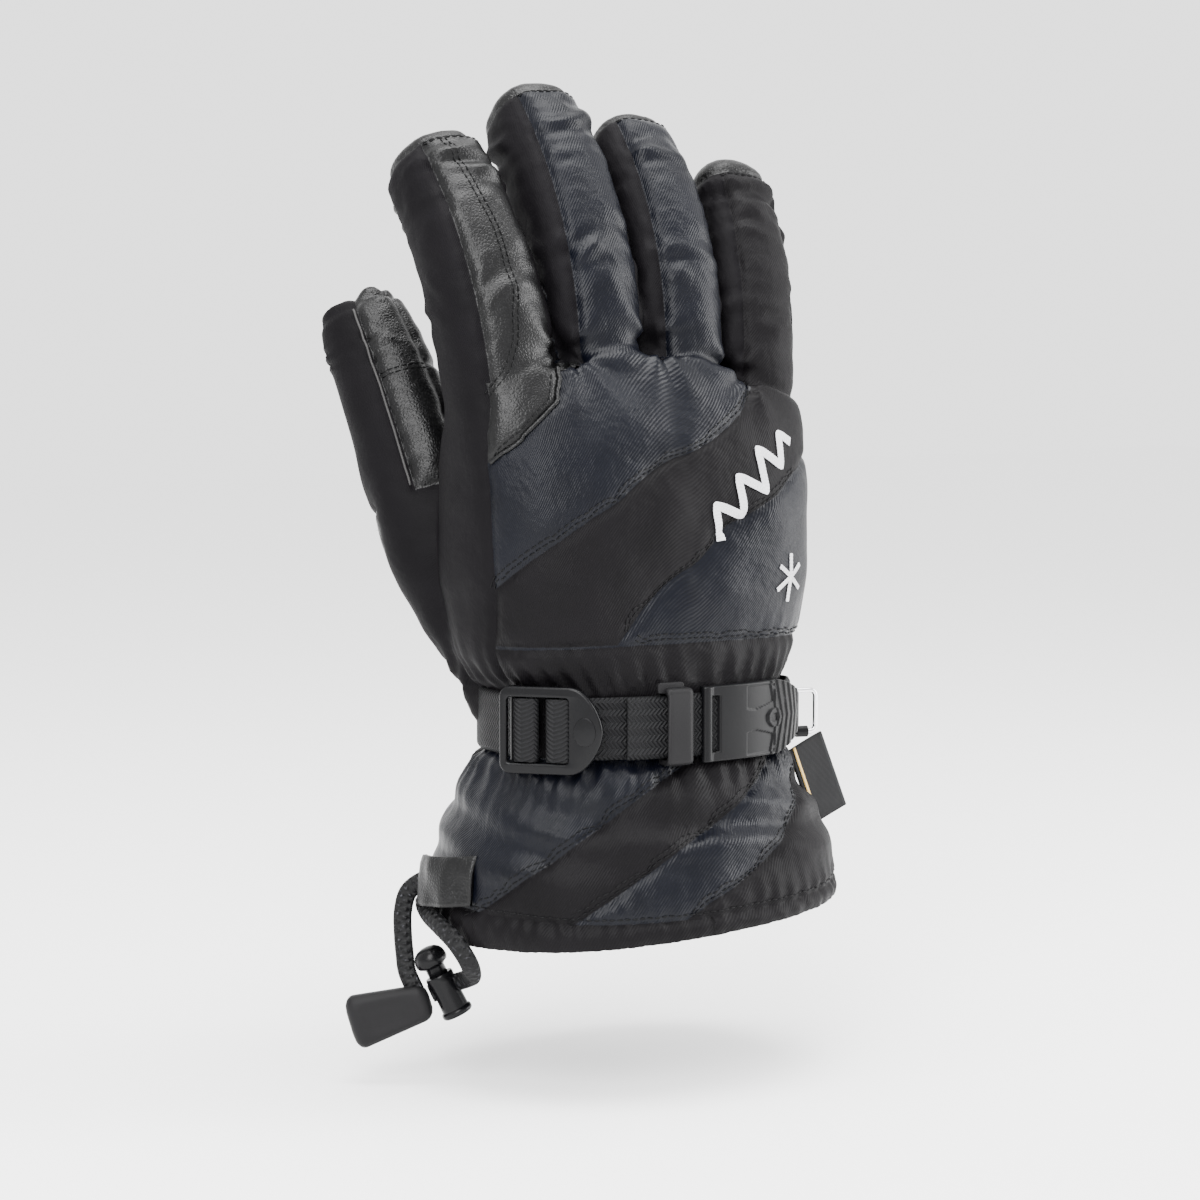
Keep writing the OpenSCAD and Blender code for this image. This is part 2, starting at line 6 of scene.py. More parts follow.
import bmesh
import bpy
import numpy as np
from mathutils import Matrix, Vector, kdtree, noise
from mathutils.bvhtree import BVHTree


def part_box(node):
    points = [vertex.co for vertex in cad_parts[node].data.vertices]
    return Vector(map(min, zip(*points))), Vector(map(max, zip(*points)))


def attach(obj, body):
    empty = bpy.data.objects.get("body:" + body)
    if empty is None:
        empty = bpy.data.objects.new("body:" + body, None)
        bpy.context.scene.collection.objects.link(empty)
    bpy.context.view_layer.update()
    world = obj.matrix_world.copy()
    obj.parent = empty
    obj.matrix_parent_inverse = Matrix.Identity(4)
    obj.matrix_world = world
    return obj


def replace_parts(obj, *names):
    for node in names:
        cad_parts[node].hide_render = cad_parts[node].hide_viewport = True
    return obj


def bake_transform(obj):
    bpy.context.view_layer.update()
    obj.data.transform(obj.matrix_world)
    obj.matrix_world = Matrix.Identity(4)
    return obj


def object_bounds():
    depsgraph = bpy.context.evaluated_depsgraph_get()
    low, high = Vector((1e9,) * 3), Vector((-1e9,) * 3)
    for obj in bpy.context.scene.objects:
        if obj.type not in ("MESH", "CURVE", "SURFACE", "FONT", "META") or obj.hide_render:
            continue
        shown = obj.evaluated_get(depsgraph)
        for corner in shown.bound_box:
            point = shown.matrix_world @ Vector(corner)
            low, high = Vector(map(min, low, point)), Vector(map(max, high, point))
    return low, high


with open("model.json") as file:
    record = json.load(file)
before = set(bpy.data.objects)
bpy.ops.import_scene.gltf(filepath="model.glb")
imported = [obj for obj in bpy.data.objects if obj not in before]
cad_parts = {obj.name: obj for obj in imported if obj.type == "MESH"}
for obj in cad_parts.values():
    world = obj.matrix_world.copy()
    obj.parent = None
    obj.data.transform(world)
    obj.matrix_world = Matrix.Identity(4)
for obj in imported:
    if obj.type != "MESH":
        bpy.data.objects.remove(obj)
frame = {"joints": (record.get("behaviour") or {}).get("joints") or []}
cad_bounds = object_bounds()

MM = 0.001
STRAP_LO, STRAP_HI = (c.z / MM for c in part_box("strap_webbing"))
STRAP_Z = (STRAP_LO + STRAP_HI) / 2
HINGE = {j["name"]: np.array(j.get("pos_m", (0, 0, 0))) / MM for j in frame["joints"]}
FINGERS = ("index", "middle", "ring", "little")


# ---- camera, lights and floor ----
VIEW_TURN = 33
VIEW_RISE = 4
VIEW_AT = Vector((0, 0, 0.132))
VIEW_AWAY = 1.1
LENS = 100
SHIFT = (-0.018, -0.073)
GLOVE_MID = (0, 0, 0.13)
SURROUND = 2.3
FLOOR_HALF, FLOOR_DROP = 3.0, 0.012


def make_camera():
    """The camera looks at the back of the hand from the thumb side, a little from above."""
    turn, rise = math.radians(VIEW_TURN), math.radians(VIEW_RISE)
    away = Vector((-math.sin(turn) * math.cos(rise), -math.cos(turn) * math.cos(rise), math.sin(rise)))
    data = bpy.data.cameras.new("camera")
    data.lens = LENS
    data.shift_x, data.shift_y = SHIFT
    cam = bpy.data.objects.new("camera", data)
    cam.location = VIEW_AT + away * VIEW_AWAY
    cam.rotation_euler = (-away).to_track_quat("-Z", "Y").to_euler()
    bpy.context.scene.collection.objects.link(cam)
    bpy.context.scene.camera = cam


def area_light(name, place, aim, size, power):
    """A soft box at place, turned to aim, size metres wide and high."""
    data = bpy.data.lights.new(name, "AREA")
    data.shape = "RECTANGLE"
    data.size, data.size_y = size
    data.energy = power
    lamp = bpy.data.objects.new(name, data)
    lamp.location = place
    lamp.rotation_euler = (Vector(aim) - Vector(place)).to_track_quat("-Z", "Y").to_euler()
    bpy.context.scene.collection.objects.link(lamp)


def make_studio():
    """Soft boxes left, right and above, a pale floor and a bright even surround."""
    world = bpy.data.worlds.new("studio")
    bpy.context.scene.world = world
    world.use_nodes = True
    surround = world.node_tree.nodes["Background"]
    surround.inputs["Color"].default_value = (1, 1, 1, 1)
    surround.inputs["Strength"].default_value = SURROUND
    area_light("key_box", (-0.75, -0.75, 0.75), GLOVE_MID, (0.6, 0.9), 28)
    area_light("side_box", (0.95, -0.45, 0.35), GLOVE_MID, (0.35, 1.0), 20)
    area_light("top_box", (0.0, -0.1, 1.1), (0, 0, 0.15), (0.9, 0.7), 26)
    floor = bpy.data.meshes.new("floor")
    r, z = FLOOR_HALF, cad_bounds[0][2] - FLOOR_DROP
    floor.from_pydata([(-r, -r, z), (r, -r, z), (r, r, z), (-r, r, z)], [], [(0, 1, 2, 3)])
    floor_object = bpy.data.objects.new("floor", floor)
    bpy.context.scene.collection.objects.link(floor_object)
    pale = bpy.data.materials.new("pale_floor")
    pale.use_nodes = True
    shader = pale.node_tree.nodes["Principled BSDF"]
    shader.inputs["Base Color"].default_value = (0.97, 0.97, 0.97, 1)
    shader.inputs["Roughness"].default_value = 0.7
    floor.materials.append(pale)


# ---- the glove's form, in millimetres: the same sections as the frame's ----
HALF_W = [(0, 70), (6, 70), (22, 67), (40, 59), (52, 54), (55, 51), (77, 51), (80, 54), (88, 59),
          (112, 63), (137, 64), (162, 64), (190, 63)]
HALF_D = [(0, 57), (6, 56), (22, 52), (40, 44), (52, 40), (55, 37), (77, 37), (88, 37), (112, 36),
          (137, 35), (156, 32), (170, 26), (180, 20.5), (190, 17)]
CENTRE_X = [(0, 5), (22, 4), (40, 3), (56, 4), (66, 4), (87, 2), (190, 2)]
CENTRE_Y = [(0, 0), (137, 0), (190, 3)]
SQUARE = [(0, 2.2), (40, 2.3), (76, 2.4), (112, 2.7), (190, 2.8)]
HEM_TILT = [(0, 0.07), (50, 0)]
KNUCKLES = [(-66, 176), (-45, 178), (-28, 183), (-11, 186), (5, 185), (22, 182), (38, 176), (52, 170),
            (68, 166)]


def lookup(v, table):
    """The value at v from a table of (level or direction, value) pairs."""
    return np.interp(v, [a for a, b in table], [b for a, b in table])


def spread(*parts):
    """Coordinates that depend on rows or columns, as one grid of points."""
    return np.stack(np.broadcast_arrays(*parts), -1)


def signed_pow(v, e):
    """A power that keeps its sign, for squared ovals."""
    return np.sign(v) * np.abs(v) ** e


def hand_point(t, z, out=0.0):
    """The hand's surface at direction t in degrees and level z, moved out by some millimetres."""
    t, z = np.radians(np.asarray(t, float)), np.asarray(z, float)
    e = 2 / lookup(z, SQUARE)
    x = signed_pow(np.cos(t), e) * (lookup(z, HALF_W) + out)
    y = signed_pow(np.sin(t), e) * (lookup(z, HALF_D) + out)
    full_x = lookup(z, CENTRE_X) + signed_pow(np.cos(t), e) * lookup(z, HALF_W)
    return spread(x + lookup(z, CENTRE_X), y + lookup(z, CENTRE_Y), z + lookup(z, HEM_TILT) * full_x)


def hand_coords(p):
    """Direction t in degrees, 0 to 360, and level z of points near the hand's surface."""
    z = p[:, 2].copy()
    for _ in range(3):
        z = p[:, 2] - lookup(z, HEM_TILT) * p[:, 0]
    half_n = lookup(z, SQUARE) / 2
    x = signed_pow((p[:, 0] - lookup(z, CENTRE_X)) / lookup(z, HALF_W), half_n)
    y = signed_pow((p[:, 1] - lookup(z, CENTRE_Y)) / lookup(z, HALF_D), half_n)
    return np.degrees(np.arctan2(y, x)) % 360, z


class Digit:
    """A finger or the thumb: a tube on a bent middle line, with a rounded end."""

    def __init__(self, name, base, length, width, depth, splay, lean, curl, roll=0, taper=0.12, end=11):
        self.name, self.base, self.length = name, np.array(base, float), length
        self.width, self.depth, self.splay = width, depth, math.radians(splay)
        self.lean, self.curl, self.roll = math.radians(lean), math.radians(curl), math.radians(roll)
        self.taper, self.end = taper, end

    def centre(self, s):
        """The middle line at a share s of the length."""
        a0, a1 = self.lean, self.lean + self.curl * s
        k = self.length / self.curl
        rise = k * (np.sin(a1) - math.sin(a0))
        return self.base + np.stack([math.sin(self.splay) * rise, k * (math.cos(a0) - np.cos(a1)),
                                     math.cos(self.splay) * rise], -1)

    def axes(self, s):
        """Across and out of the back of the digit, at a share of the length."""
        a = self.lean + self.curl * np.asarray(s, float)
        u = np.stack([np.full_like(a, math.cos(self.splay)), 0 * a,
                      np.full_like(a, -math.sin(self.splay))], -1)
        v = np.stack([0 * a, np.cos(a), -np.sin(a)], -1)
        c, r = math.cos(self.roll), math.sin(self.roll)
        return u * c + v * r, v * c - u * r

    def keep(self, s):
        """How much of its full section the digit keeps there: its taper and its round end."""
        e = np.clip((1 - s) * self.length / self.end, 0, 1)
        blunt = np.clip(1 - (1 - e) ** 2.5, 0.0005, 1) ** 0.4
        if self.name == "thumb":
            blunt = blunt * np.interp(s, [-0.3, -0.12, 0, 0.18, 0.36], [0.1, 0.3, 0.62, 0.95, 1])
        return (1 - self.taper * np.clip(s, 0, 1) ** 2) * blunt

    def rings(self, s_list, sides=40, out=0.0):
        """Rings of points round the digit, moved out by some millimetres."""
        t = np.linspace(0, 2 * np.pi, sides, endpoint=False)
        rings = []
        for s in s_list:
            ax, ay = self.axes(s)
            k = self.keep(s)
            x = signed_pow(np.cos(t), 0.8) * (self.width / 2 * k + out)
            y = signed_pow(np.sin(t), 0.8) * (self.depth / 2 * k + out)
            rings.append(self.centre(s) + x[:, None] * ax + y[:, None] * ay)
        return rings

    def coords(self, p):
        """Share of the length and the two offsets from the middle line, for each point."""
        grid = np.linspace(-0.3, 1.0, 66)
        mid = self.centre(grid)
        near = ((p[:, None, :] - mid[None]) ** 2).sum(-1).argmin(1)
        s = grid[near]
        ax, ay = self.axes(s)
        along = np.cross(ax, ay)
        s = s + ((p - self.centre(s)) * along).sum(-1) / self.length
        rel = p - self.centre(s)
        return s, (rel * ax).sum(-1), (rel * ay).sum(-1)


def finger(name, length, width, depth, splay, curl, lean=5, **more):
    """A finger that starts at its own hinge."""
    return Digit(name, HINGE[name + "_flex"], length, width, depth, splay, lean, curl, **more)


DIGITS = {
    "index": finger("index", 81.5, 35.5, 33, -6, 40),
    "middle": finger("middle", 92, 35.5, 33, -0.5, 44),
    "ring": finger("ring", 87, 33.5, 32, 3, 44),
    "little": finger("little", 82, 31, 29, 7.5, 36, lean=4),
    "thumb": Digit("thumb", (-48, 25, 97), 117, 36, 33, -5, 19, 14, roll=-30, taper=0.2, end=15),
}
# The planes that part neighbouring fingers: x at the level 180, and how far they lean
PARTINGS = [(-28.2, -0.03), (5.4, 0.015), (37.6, 0.06)]
FINGER_GAP = 1.15
SKIN_VOXEL = 1.25
SKIN_ROUNDS = 7


# ---- mesh tools; shapes are worked out in millimetres ----
def make_piece(name, verts_mm, faces):
    """An object at the origin, from points in millimetres."""
    mesh = bpy.data.meshes.new(name)
    mesh.from_pydata((np.asarray(verts_mm, float) * MM).tolist(), [], [tuple(map(int, f)) for f in faces])
    mesh.update()
    mesh.shade_smooth()
    piece = bpy.data.objects.new(name, mesh)
    bpy.context.scene.collection.objects.link(piece)
    return piece


def finished_mesh(piece):
    """The piece's mesh with its modifiers worked in, and the modifiers gone."""
    depsgraph = bpy.context.evaluated_depsgraph_get()
    mesh = bpy.data.meshes.new_from_object(piece.evaluated_get(depsgraph), depsgraph=depsgraph)
    piece.modifiers.clear()
    piece.data = mesh
    return mesh


def loft(rings, closed_ends=True):
    """Points and faces of a tube through rings of points, its ends closed with a fan."""
    rows, cols = len(rings), len(rings[0])
    verts = [p for ring in rings for p in ring]
    faces = [(r * cols + c, r * cols + (c + 1) % cols, (r + 1) * cols + (c + 1) % cols, (r + 1) * cols + c)
             for r in range(rows - 1) for c in range(cols)]
    if closed_ends:
        for row, turn in ((0, -1), (rows - 1, 1)):
            verts.append(np.mean(rings[row], 0))
            hub = len(verts) - 1
            faces += [(row * cols + c, row * cols + (c + 1) % cols, hub)[::turn] for c in range(cols)]
    return verts, faces


def join(parts):
    """Several (points, faces) as one."""
    verts, faces = [], []
    for v, f in parts:
        faces += [tuple(i + len(verts) for i in face) for face in f]
        verts += list(v)
    return verts, faces


def triangles_of(mesh):
    """Points in millimetres and triangles of a mesh."""
    verts = np.zeros(len(mesh.vertices) * 3)
    mesh.vertices.foreach_get("co", verts)
    mesh.calc_loop_triangles()
    tris = np.zeros(len(mesh.loop_triangles) * 3, np.int32)
    mesh.loop_triangles.foreach_get("vertices", tris)
    return verts.reshape(-1, 3) / MM, tris.reshape(-1, 3).astype(np.int64)


def vertex_normals(verts, tris):
    a, b, c = (verts[tris[:, k]] for k in range(3))
    face = np.cross(b - a, c - a)
    normals = np.zeros_like(verts)
    for k in range(3):
        np.add.at(normals, tris[:, k], face)
    return normals / np.maximum(np.linalg.norm(normals, axis=1, keepdims=True), 1e-9)


def smoothed(values, tris, rounds, share=0.5):
    """Values at the points, each drawn towards the mean of its neighbours."""
    values = np.asarray(values, float)
    flat = values.reshape(len(values), -1)
    edges = np.concatenate([tris[:, [0, 1]], tris[:, [1, 2]], tris[:, [2, 0]]])
    count = np.bincount(edges.ravel(), minlength=len(values))[:, None]
    for _ in range(rounds):
        total = np.zeros_like(flat)
        for k in range(flat.shape[1]):
            total[:, k] = (np.bincount(edges[:, 0], flat[edges[:, 1], k], len(values))
                           + np.bincount(edges[:, 1], flat[edges[:, 0], k], len(values)))
        flat = flat + share * (total / np.maximum(count, 1) - flat)
    return flat.reshape(values.shape)


def cut(verts, tris, sides, name, level):
    """Split the triangles where level passes zero; sides[name] is then True where level is above it."""
    f = np.where(np.abs(level) < 0.18, 0.0, level)
    sign = np.sign(f)[tris]
    crossing = (sign.min(1) < 0) & (sign.max(1) > 0)
    whole, whole_id = tris[~crossing], np.nonzero(~crossing)[0]
    split, split_sign, split_id = tris[crossing], sign[crossing], np.nonzero(crossing)[0]
    # Turn each triangle so that its first corner is the one on the line, or else the lone one
    has_zero = (split_sign == 0).any(1)
    lone = np.where(has_zero[:, None], split_sign == 0, split_sign == -np.sign(split_sign.sum(1))[:, None])
    first = lone.argmax(1)
    rows = np.arange(len(split))
    a, b, c = (split[rows, (first + k) % 3] for k in range(3))
    z = has_zero
    ends = ((b[z], c[z]), (a[~z], b[~z]), (c[~z], a[~z]))
    keys = np.concatenate([np.sort(np.stack(pair, 1), 1) for pair in ends])
    unique, where = np.unique(keys, axis=0, return_inverse=True)
    where = where.ravel() + len(verts)
    w = (f[unique[:, 0]] / (f[unique[:, 0]] - f[unique[:, 1]]))[:, None]
    fresh = verts[unique[:, 0]] * (1 - w) + verts[unique[:, 1]] * w
    nz, nl = int(z.sum()), int((~z).sum())
    bc, ab, ca = where[:nz], where[nz:nz + nl], where[nz + nl:]
    parts = [whole, np.stack([a[z], b[z], bc], 1), np.stack([a[z], bc, c[z]], 1),
             np.stack([a[~z], ab, ca], 1), np.stack([ab, b[~z], c[~z]], 1), np.stack([ab, c[~z], ca], 1)]
    parent = np.concatenate([whole_id, *[split_id[z]] * 2, *[split_id[~z]] * 3])
    verts, tris = np.concatenate([verts, fresh]), np.concatenate(parts)
    f = np.concatenate([f, np.zeros(len(fresh))])
    sides = {k: v[parent] for k, v in sides.items()}
    sides[name] = f[tris].sum(1) > 0
    return verts, tris, sides


# ---- the seams, as directions and levels on the hand ----
LITTLE_SEAM = 348
UPPER_SEAM = [(150, 100), (196, 109), (200, 111), (232, 126), (254, 138), (270, 152), (290, 166),
              (298, 174), (312, 196), (348, 220)]
MIDDLE_SEAM = [(196, 92), (250, 92.5), (255, 98), (269, 114), (279, 129), (300, 138), (315, 145),
               (348, 152)]
LOWER_SEAM = [(196, 91), (255, 92), (272, 92), (348, 90)]
THUMB_SIDE_SEAM = [(76, 190), (84, 192), (110, 199), (151, 198), (159, 199.5), (167, 204), (190, 206)]
KNUCKLE_EDGE = [(190, 148), (199, 151), (220, 159), (238, 170), (243, 178), (246, 215)]
HEM_TOP = [(170, 12), (209, 10), (234, 8), (262, 6.5), (285, 6), (321, 6), (360, 9)]
CUFF_SHEAR = 1.75
CUFF_SEAMS = (271, 310, 346, 520)
TIP_SHARE = {"index": 0.93, "middle": 0.92, "ring": 0.93, "little": 0.89}
THUMB_ROOT = 0.36
THUMB_WIDE, THUMB_DEEP = 37, 33


def parting_x(k, z):
    """Where the parting between fingers k and k + 1 lies at level z."""
    return PARTINGS[k][0] + PARTINGS[k][1] * (z - 180)


def rim_level(p):
    """How far a point lies above the line where the fingers start."""
    return p[:, 2] - lookup(p[:, 0], KNUCKLES) + 1 + 0.95 * np.clip(p[:, 1] - 3, 0, None)


def thumb_level(p):
    """Above zero on the part of the thumb that bends with it."""
    s, x, y = DIGITS["thumb"].coords(p)
    rho = np.hypot(x / 18.5, y / 16.5)
    return 100 * np.minimum(s - THUMB_ROOT, (1.16 - rho) * 0.3)


def finger_of(p):
    """0 to 3 for index to little, by the partings between them."""
    return sum((p[:, 0] > parting_x(k, p[:, 2])).astype(int) for k in range(3))


def finger_coords(p):
    """Share of length and direction in degrees round each point's own finger."""
    own = finger_of(p)
    s, turn = np.zeros(len(p)), np.zeros(len(p))
    for k, name in enumerate(FINGERS):
        m = own == k
        if m.any():
            d = DIGITS[name]
            s[m], x, y = d.coords(p[m])
            turn[m] = np.degrees(np.arctan2(y / d.depth, x / d.width)) % 360
    return s, turn


def glove_form():
    """One closed skin of the hand, fingers and thumb, rounded where they meet."""
    t = np.arange(0, 360, 4.0)
    levels = np.concatenate([np.arange(-8, 150, 3.0), [150]])
    rings = [hand_point(t, np.full(len(t), z)) for z in levels]
    for k in np.linspace(0.1, 1, 10):
        base = hand_point(t, np.full(len(t), 172.0))
        top = lookup(base[:, 0], KNUCKLES) + 1 - 0.95 * np.clip(base[:, 1] - 3, 0, None)
        rings.append(hand_point(t, 150 + (np.maximum(top, 151) - 150) * k))
    parts = [loft(rings)]
    s_list = np.concatenate([np.linspace(-0.3, 0.8, 34), np.linspace(0.82, 0.999, 18)])
    for k, name in enumerate(FINGERS):
        finger_rings = DIGITS[name].rings(s_list)
        for ring in finger_rings:
            lo = parting_x(k - 1, ring[:, 2]) + FINGER_GAP if k else -1e3
            hi = parting_x(k, ring[:, 2]) - FINGER_GAP if k < 3 else 1e3
            ring[:, 0] = np.clip(ring[:, 0], lo, hi)
        parts.append(loft(finger_rings))
    parts.append(loft(DIGITS["thumb"].rings(np.concatenate([np.linspace(-0.3, 0.8, 40),
                                                             np.linspace(0.82, 0.999, 18)]))))
    verts, faces = join(parts)
    form = make_piece("glove_form", verts, faces)
    remesh = form.modifiers.new("skin", "REMESH")
    remesh.mode, remesh.voxel_size = "VOXEL", SKIN_VOXEL * MM
    verts, tris = triangles_of(finished_mesh(form))
    bpy.data.objects.remove(form)
    return smoothed(verts, tris, SKIN_ROUNDS), tris


def turn_from(t, start):
    """Degrees from start onwards, 0 to 360."""
    return (t - start) % 360


def cut_into_panels(verts, tris):
    """Cut the skin along every seam; returns it with the side of each seam that each triangle is on."""
    sides = {}

    def seam(name, level_of):
        nonlocal verts, tris, sides
        verts, tris, sides = cut(verts, tris, sides, name, level_of(verts))

    def on_hand(level):
        return lambda p: level(*hand_coords(p))

    seam("below", lambda p: p[:, 2] - lookup(p[:, 2], HEM_TILT) * p[:, 0] - 0.2)
    seam("digits", rim_level)
    seam("thumb", thumb_level)
    for k in range(3):
        seam(f"parting{k}", lambda p, k=k: p[:, 0] - parting_x(k, p[:, 2]))
    seam("hem", on_hand(lambda t, z: z - lookup(t, HEM_TOP)))
    seam("cuff", on_hand(lambda t, z: z - STRAP_LO))
    seam("strap", on_hand(lambda t, z: z - STRAP_HI))
    for k, start in enumerate(CUFF_SEAMS):
        seam(f"cuff{k}", on_hand(lambda t, z, start=start: np.where(
            z < STRAP_LO + 6, (turn_from(t + CUFF_SHEAR * (STRAP_LO - z), start) + 180) % 360 - 180, 1)))
    seam("upper", on_hand(lambda t, z: z - lookup(t, UPPER_SEAM)))
    seam("middle", on_hand(lambda t, z: z - lookup(t, MIDDLE_SEAM)))
    seam("lower", on_hand(lambda t, z: z - lookup(t, LOWER_SEAM)))
    seam("thumb_side", on_hand(lambda t, z: t - lookup(z, THUMB_SIDE_SEAM)))
    seam("knuckle", on_hand(lambda t, z: z - lookup(t, KNUCKLE_EDGE)))
    seam("little_side", on_hand(lambda t, z: t - LITTLE_SEAM))
    seam("palm_little", on_hand(lambda t, z: t - 40))
    seam("palm_thumb", on_hand(lambda t, z: t - 130))
    for name, start in (("palm_a", 40), ("side_a", 138), ("side_b", 232), ("side_c", 322)):
        seam(name, lambda p, start=start: np.where(rim_level(p) > -3, finger_coords(p)[1] - start, 1))
    tips = np.array([TIP_SHARE[n] for n in FINGERS])
    seam("tip", lambda p: 80 * (finger_coords(p)[0] - tips[finger_of(p)]))

    def thumb_turn(p):
        _, x, y = DIGITS["thumb"].coords(p)
        return np.degrees(np.arctan2(y / THUMB_DEEP, x / THUMB_WIDE)) % 360

    near = lambda p: thumb_level(p) > -3
    seam("thumb_a", lambda p: np.where(near(p), thumb_turn(p) - 136, 1))
    seam("thumb_b", lambda p: np.where(near(p), thumb_turn(p) - 262, 1))
    seam("thumb_c", lambda p: np.where(near(p), thumb_turn(p) - 322, 1))
    seam("thumb_tip", lambda p: np.where(near(p), 100 * (DIGITS["thumb"].coords(p)[0] - 0.72), 1))
    keep = sides["below"]
    return verts, tris[keep], {k: v[keep] for k, v in sides.items()}


def panel_names(verts, tris, sides):
    """The name of the panel that each triangle belongs to."""
    mid = verts[tris].mean(1)
    t, z = hand_coords(mid)
    u = (t + CUFF_SHEAR * (STRAP_LO - z) - CUFF_SEAMS[0]) % 360
    name = np.full(len(tris), "back_upper_panel", dtype="<U24")
    back = sides["thumb_side"] & ~sides["little_side"]
    name[back & ~sides["upper"]] = "back_band"
    name[back & ~sides["middle"]] = "back_lower_panel"
    name[back & ~sides["lower"]] = "wrist_back_panel"
    name[back & sides["knuckle"] & (t < 246) & sides["upper"]] = "knuckle_leather"
    name[sides["little_side"] | ~sides["palm_little"]] = "little_side_panel"
    name[sides["palm_little"] & ~sides["palm_thumb"]] = "palm_leather"
    name[sides["palm_thumb"] & ~sides["thumb_side"]] = "thumb_side_panel"
    elastic = ~sides["strap"] & ~back
    name[elastic] = "wrist_elastic_panel"
    low = ~sides["cuff"]
    cuff_names = ("cuff_front_panel", "cuff_side_panel", "cuff_palm_panel", "cuff_thumb_panel")
    edges = [(c - CUFF_SEAMS[0]) % 360 for c in CUFF_SEAMS] + [360]
    for k, cuff_name in enumerate(cuff_names):
        name[low & (u >= edges[k]) & (u < edges[k + 1])] = cuff_name
    name[~sides["hem"]] = "hem_band"
    own = sides["parting0"].astype(int) + sides["parting1"] + sides["parting2"]
    for k, digit in enumerate(FINGERS):
        m = sides["digits"] & (own == k)
        name[m] = digit + "_sides"
        name[m & sides["palm_a"] & ~sides["side_a"]] = digit + "_palm"
        name[m & sides["side_b"] & ~sides["side_c"]] = digit + "_back"
        name[m & sides["tip"]] = digit + "_tip"
    m = sides["thumb"]
    name[m] = "thumb_inner"
    name[m & sides["thumb_a"] & ~sides["thumb_b"]] = "thumb_outer"
    name[m & sides["thumb_b"] & ~sides["thumb_c"]] = "thumb_strip"
    name[m & sides["thumb_tip"] & ~(sides["thumb_a"] & ~sides["thumb_c"])] = "thumb_tip"
    return name


# ---- finishes ----
class Finish:
    """A material built node by node on its Principled shader."""

    def __init__(self, name, colour, rough, **settings):
        self.material = bpy.data.materials.new(name)
        self.material.use_nodes = True
        self.tree = self.material.node_tree
        self.shader = self.tree.nodes["Principled BSDF"]
        self.colour = colour
        self.shader.inputs["Base Color"].default_value = (*colour, 1)
        self.shader.inputs["Roughness"].default_value = rough
        for key, value in settings.items():
            self.shader.inputs[key.replace("_", " ")].default_value = value
        self.normal = None

    def node(self, kind, links=(), **settings):
        n = self.tree.nodes.new("ShaderNode" + kind)
        for key, value in settings.items():
            if hasattr(n, key):
                setattr(n, key, value)
            else:
                n.inputs[key.replace("_", " ")].default_value = value
        for socket, source in links:
            self.tree.links.new(source, n.inputs[socket])
        return n

    def place(self, weave=False):
        """Object coordinates, or the cloth's own flat coordinates in millimetres."""
        if weave:
            return self.node("UVMap", uv_map="weave").outputs[0]
        return self.node("TexCoord").outputs["Object"]

    def noise(self, scale, detail=3.0, weave=False):
        where = [("Vector", self.place(weave))]
        return self.node("TexNoise", where, Scale=scale, Detail=detail).outputs["Fac"]

    def ramp(self, source, low, high):
        return self.node("MapRange", [("Value", source)], To_Min=low, To_Max=high).outputs[0]

    def tint(self, source, dark, light):
        """Vary the colour between two strengths of itself."""
        mix = self.node("Mix", [("Factor", source)], data_type="RGBA")
        mix.inputs[6].default_value = (*(c * dark for c in self.colour), 1)
        mix.inputs[7].default_value = (*(c * light for c in self.colour), 1)
        self.tree.links.new(mix.outputs[2], self.shader.inputs["Base Color"])

    def gloss(self, source, low, high):
        self.tree.links.new(self.ramp(source, low, high), self.shader.inputs["Roughness"])

    def bump(self, height, depth, strength=1.0):
        """Relief of the given depth in millimetres, over any relief already there."""
        links = [("Height", height)] + ([("Normal", self.normal)] if self.normal else [])
        n = self.node("Bump", links, Strength=strength, Distance=depth * MM)
        self.normal = n.outputs[0]
        self.tree.links.new(self.normal, self.shader.inputs["Normal"])

    def wave(self, pitch, direction="X", slant=0.0, kind="SIN"):
        """Ridges at a pitch in millimetres across the cloth's flat coordinates."""
        turn = self.node("Mapping", [("Vector", self.place(True))])
        turn.inputs["Rotation"].default_value = (0, 0, math.radians(slant))
        return self.node("TexWave", [("Vector", turn.outputs[0])], bands_direction=direction,
                         wave_profile=kind, Scale=2 * math.pi / (20 * pitch), Distortion=0.0).outputs["Fac"]


def cloth_finish(name, colour, rough, pitch, relief, sheen, fuzz, shine):
    """Twill: fine slanted ribs, uneven yarns and a soft change of shade over larger areas."""
    f = Finish(name, colour, rough, Sheen_Weight=sheen, Sheen_Roughness=0.45, Specular_IOR_Level=shine)
    ribs = f.wave(pitch, "X", 35)
    f.bump(f.noise(0.35, 3, True), fuzz, 0.7)
    f.bump(ribs, relief, 0.8)
    shade = f.noise(55, 4)
    mixed = f.node("Math", [(0, shade), (1, ribs)], operation="MULTIPLY_ADD")
    f.tree.links.new(shade, mixed.inputs[2])
    f.tint(mixed.outputs[0], 0.55, 1.35)
    f.gloss(f.noise(90, 3), rough - 0.08, rough + 0.1)
    return f.material


def leather_finish(name, colour, rough, grain, relief):
    """Grained leather: small rounded pebbles with creases between, and gloss that varies in soft patches."""
    f = Finish(name, colour, rough, Specular_IOR_Level=0.19)
    cells = f.node("TexVoronoi", [("Vector", f.place())], feature="DISTANCE_TO_EDGE",
                   Scale=grain, Randomness=1.0)
    soft = f.node("MapRange", [("Value", cells.outputs["Distance"])], From_Max=0.35,
                  interpolation_type="SMOOTHSTEP")
    f.bump(f.noise(160, 4), 0.28, 0.5)
    f.bump(soft.outputs[0], relief, 0.8)
    f.gloss(f.noise(120, 3), rough - 0.1, rough + 0.14)
    f.tint(soft.outputs[0], 0.6, 1.2)
    return f.material


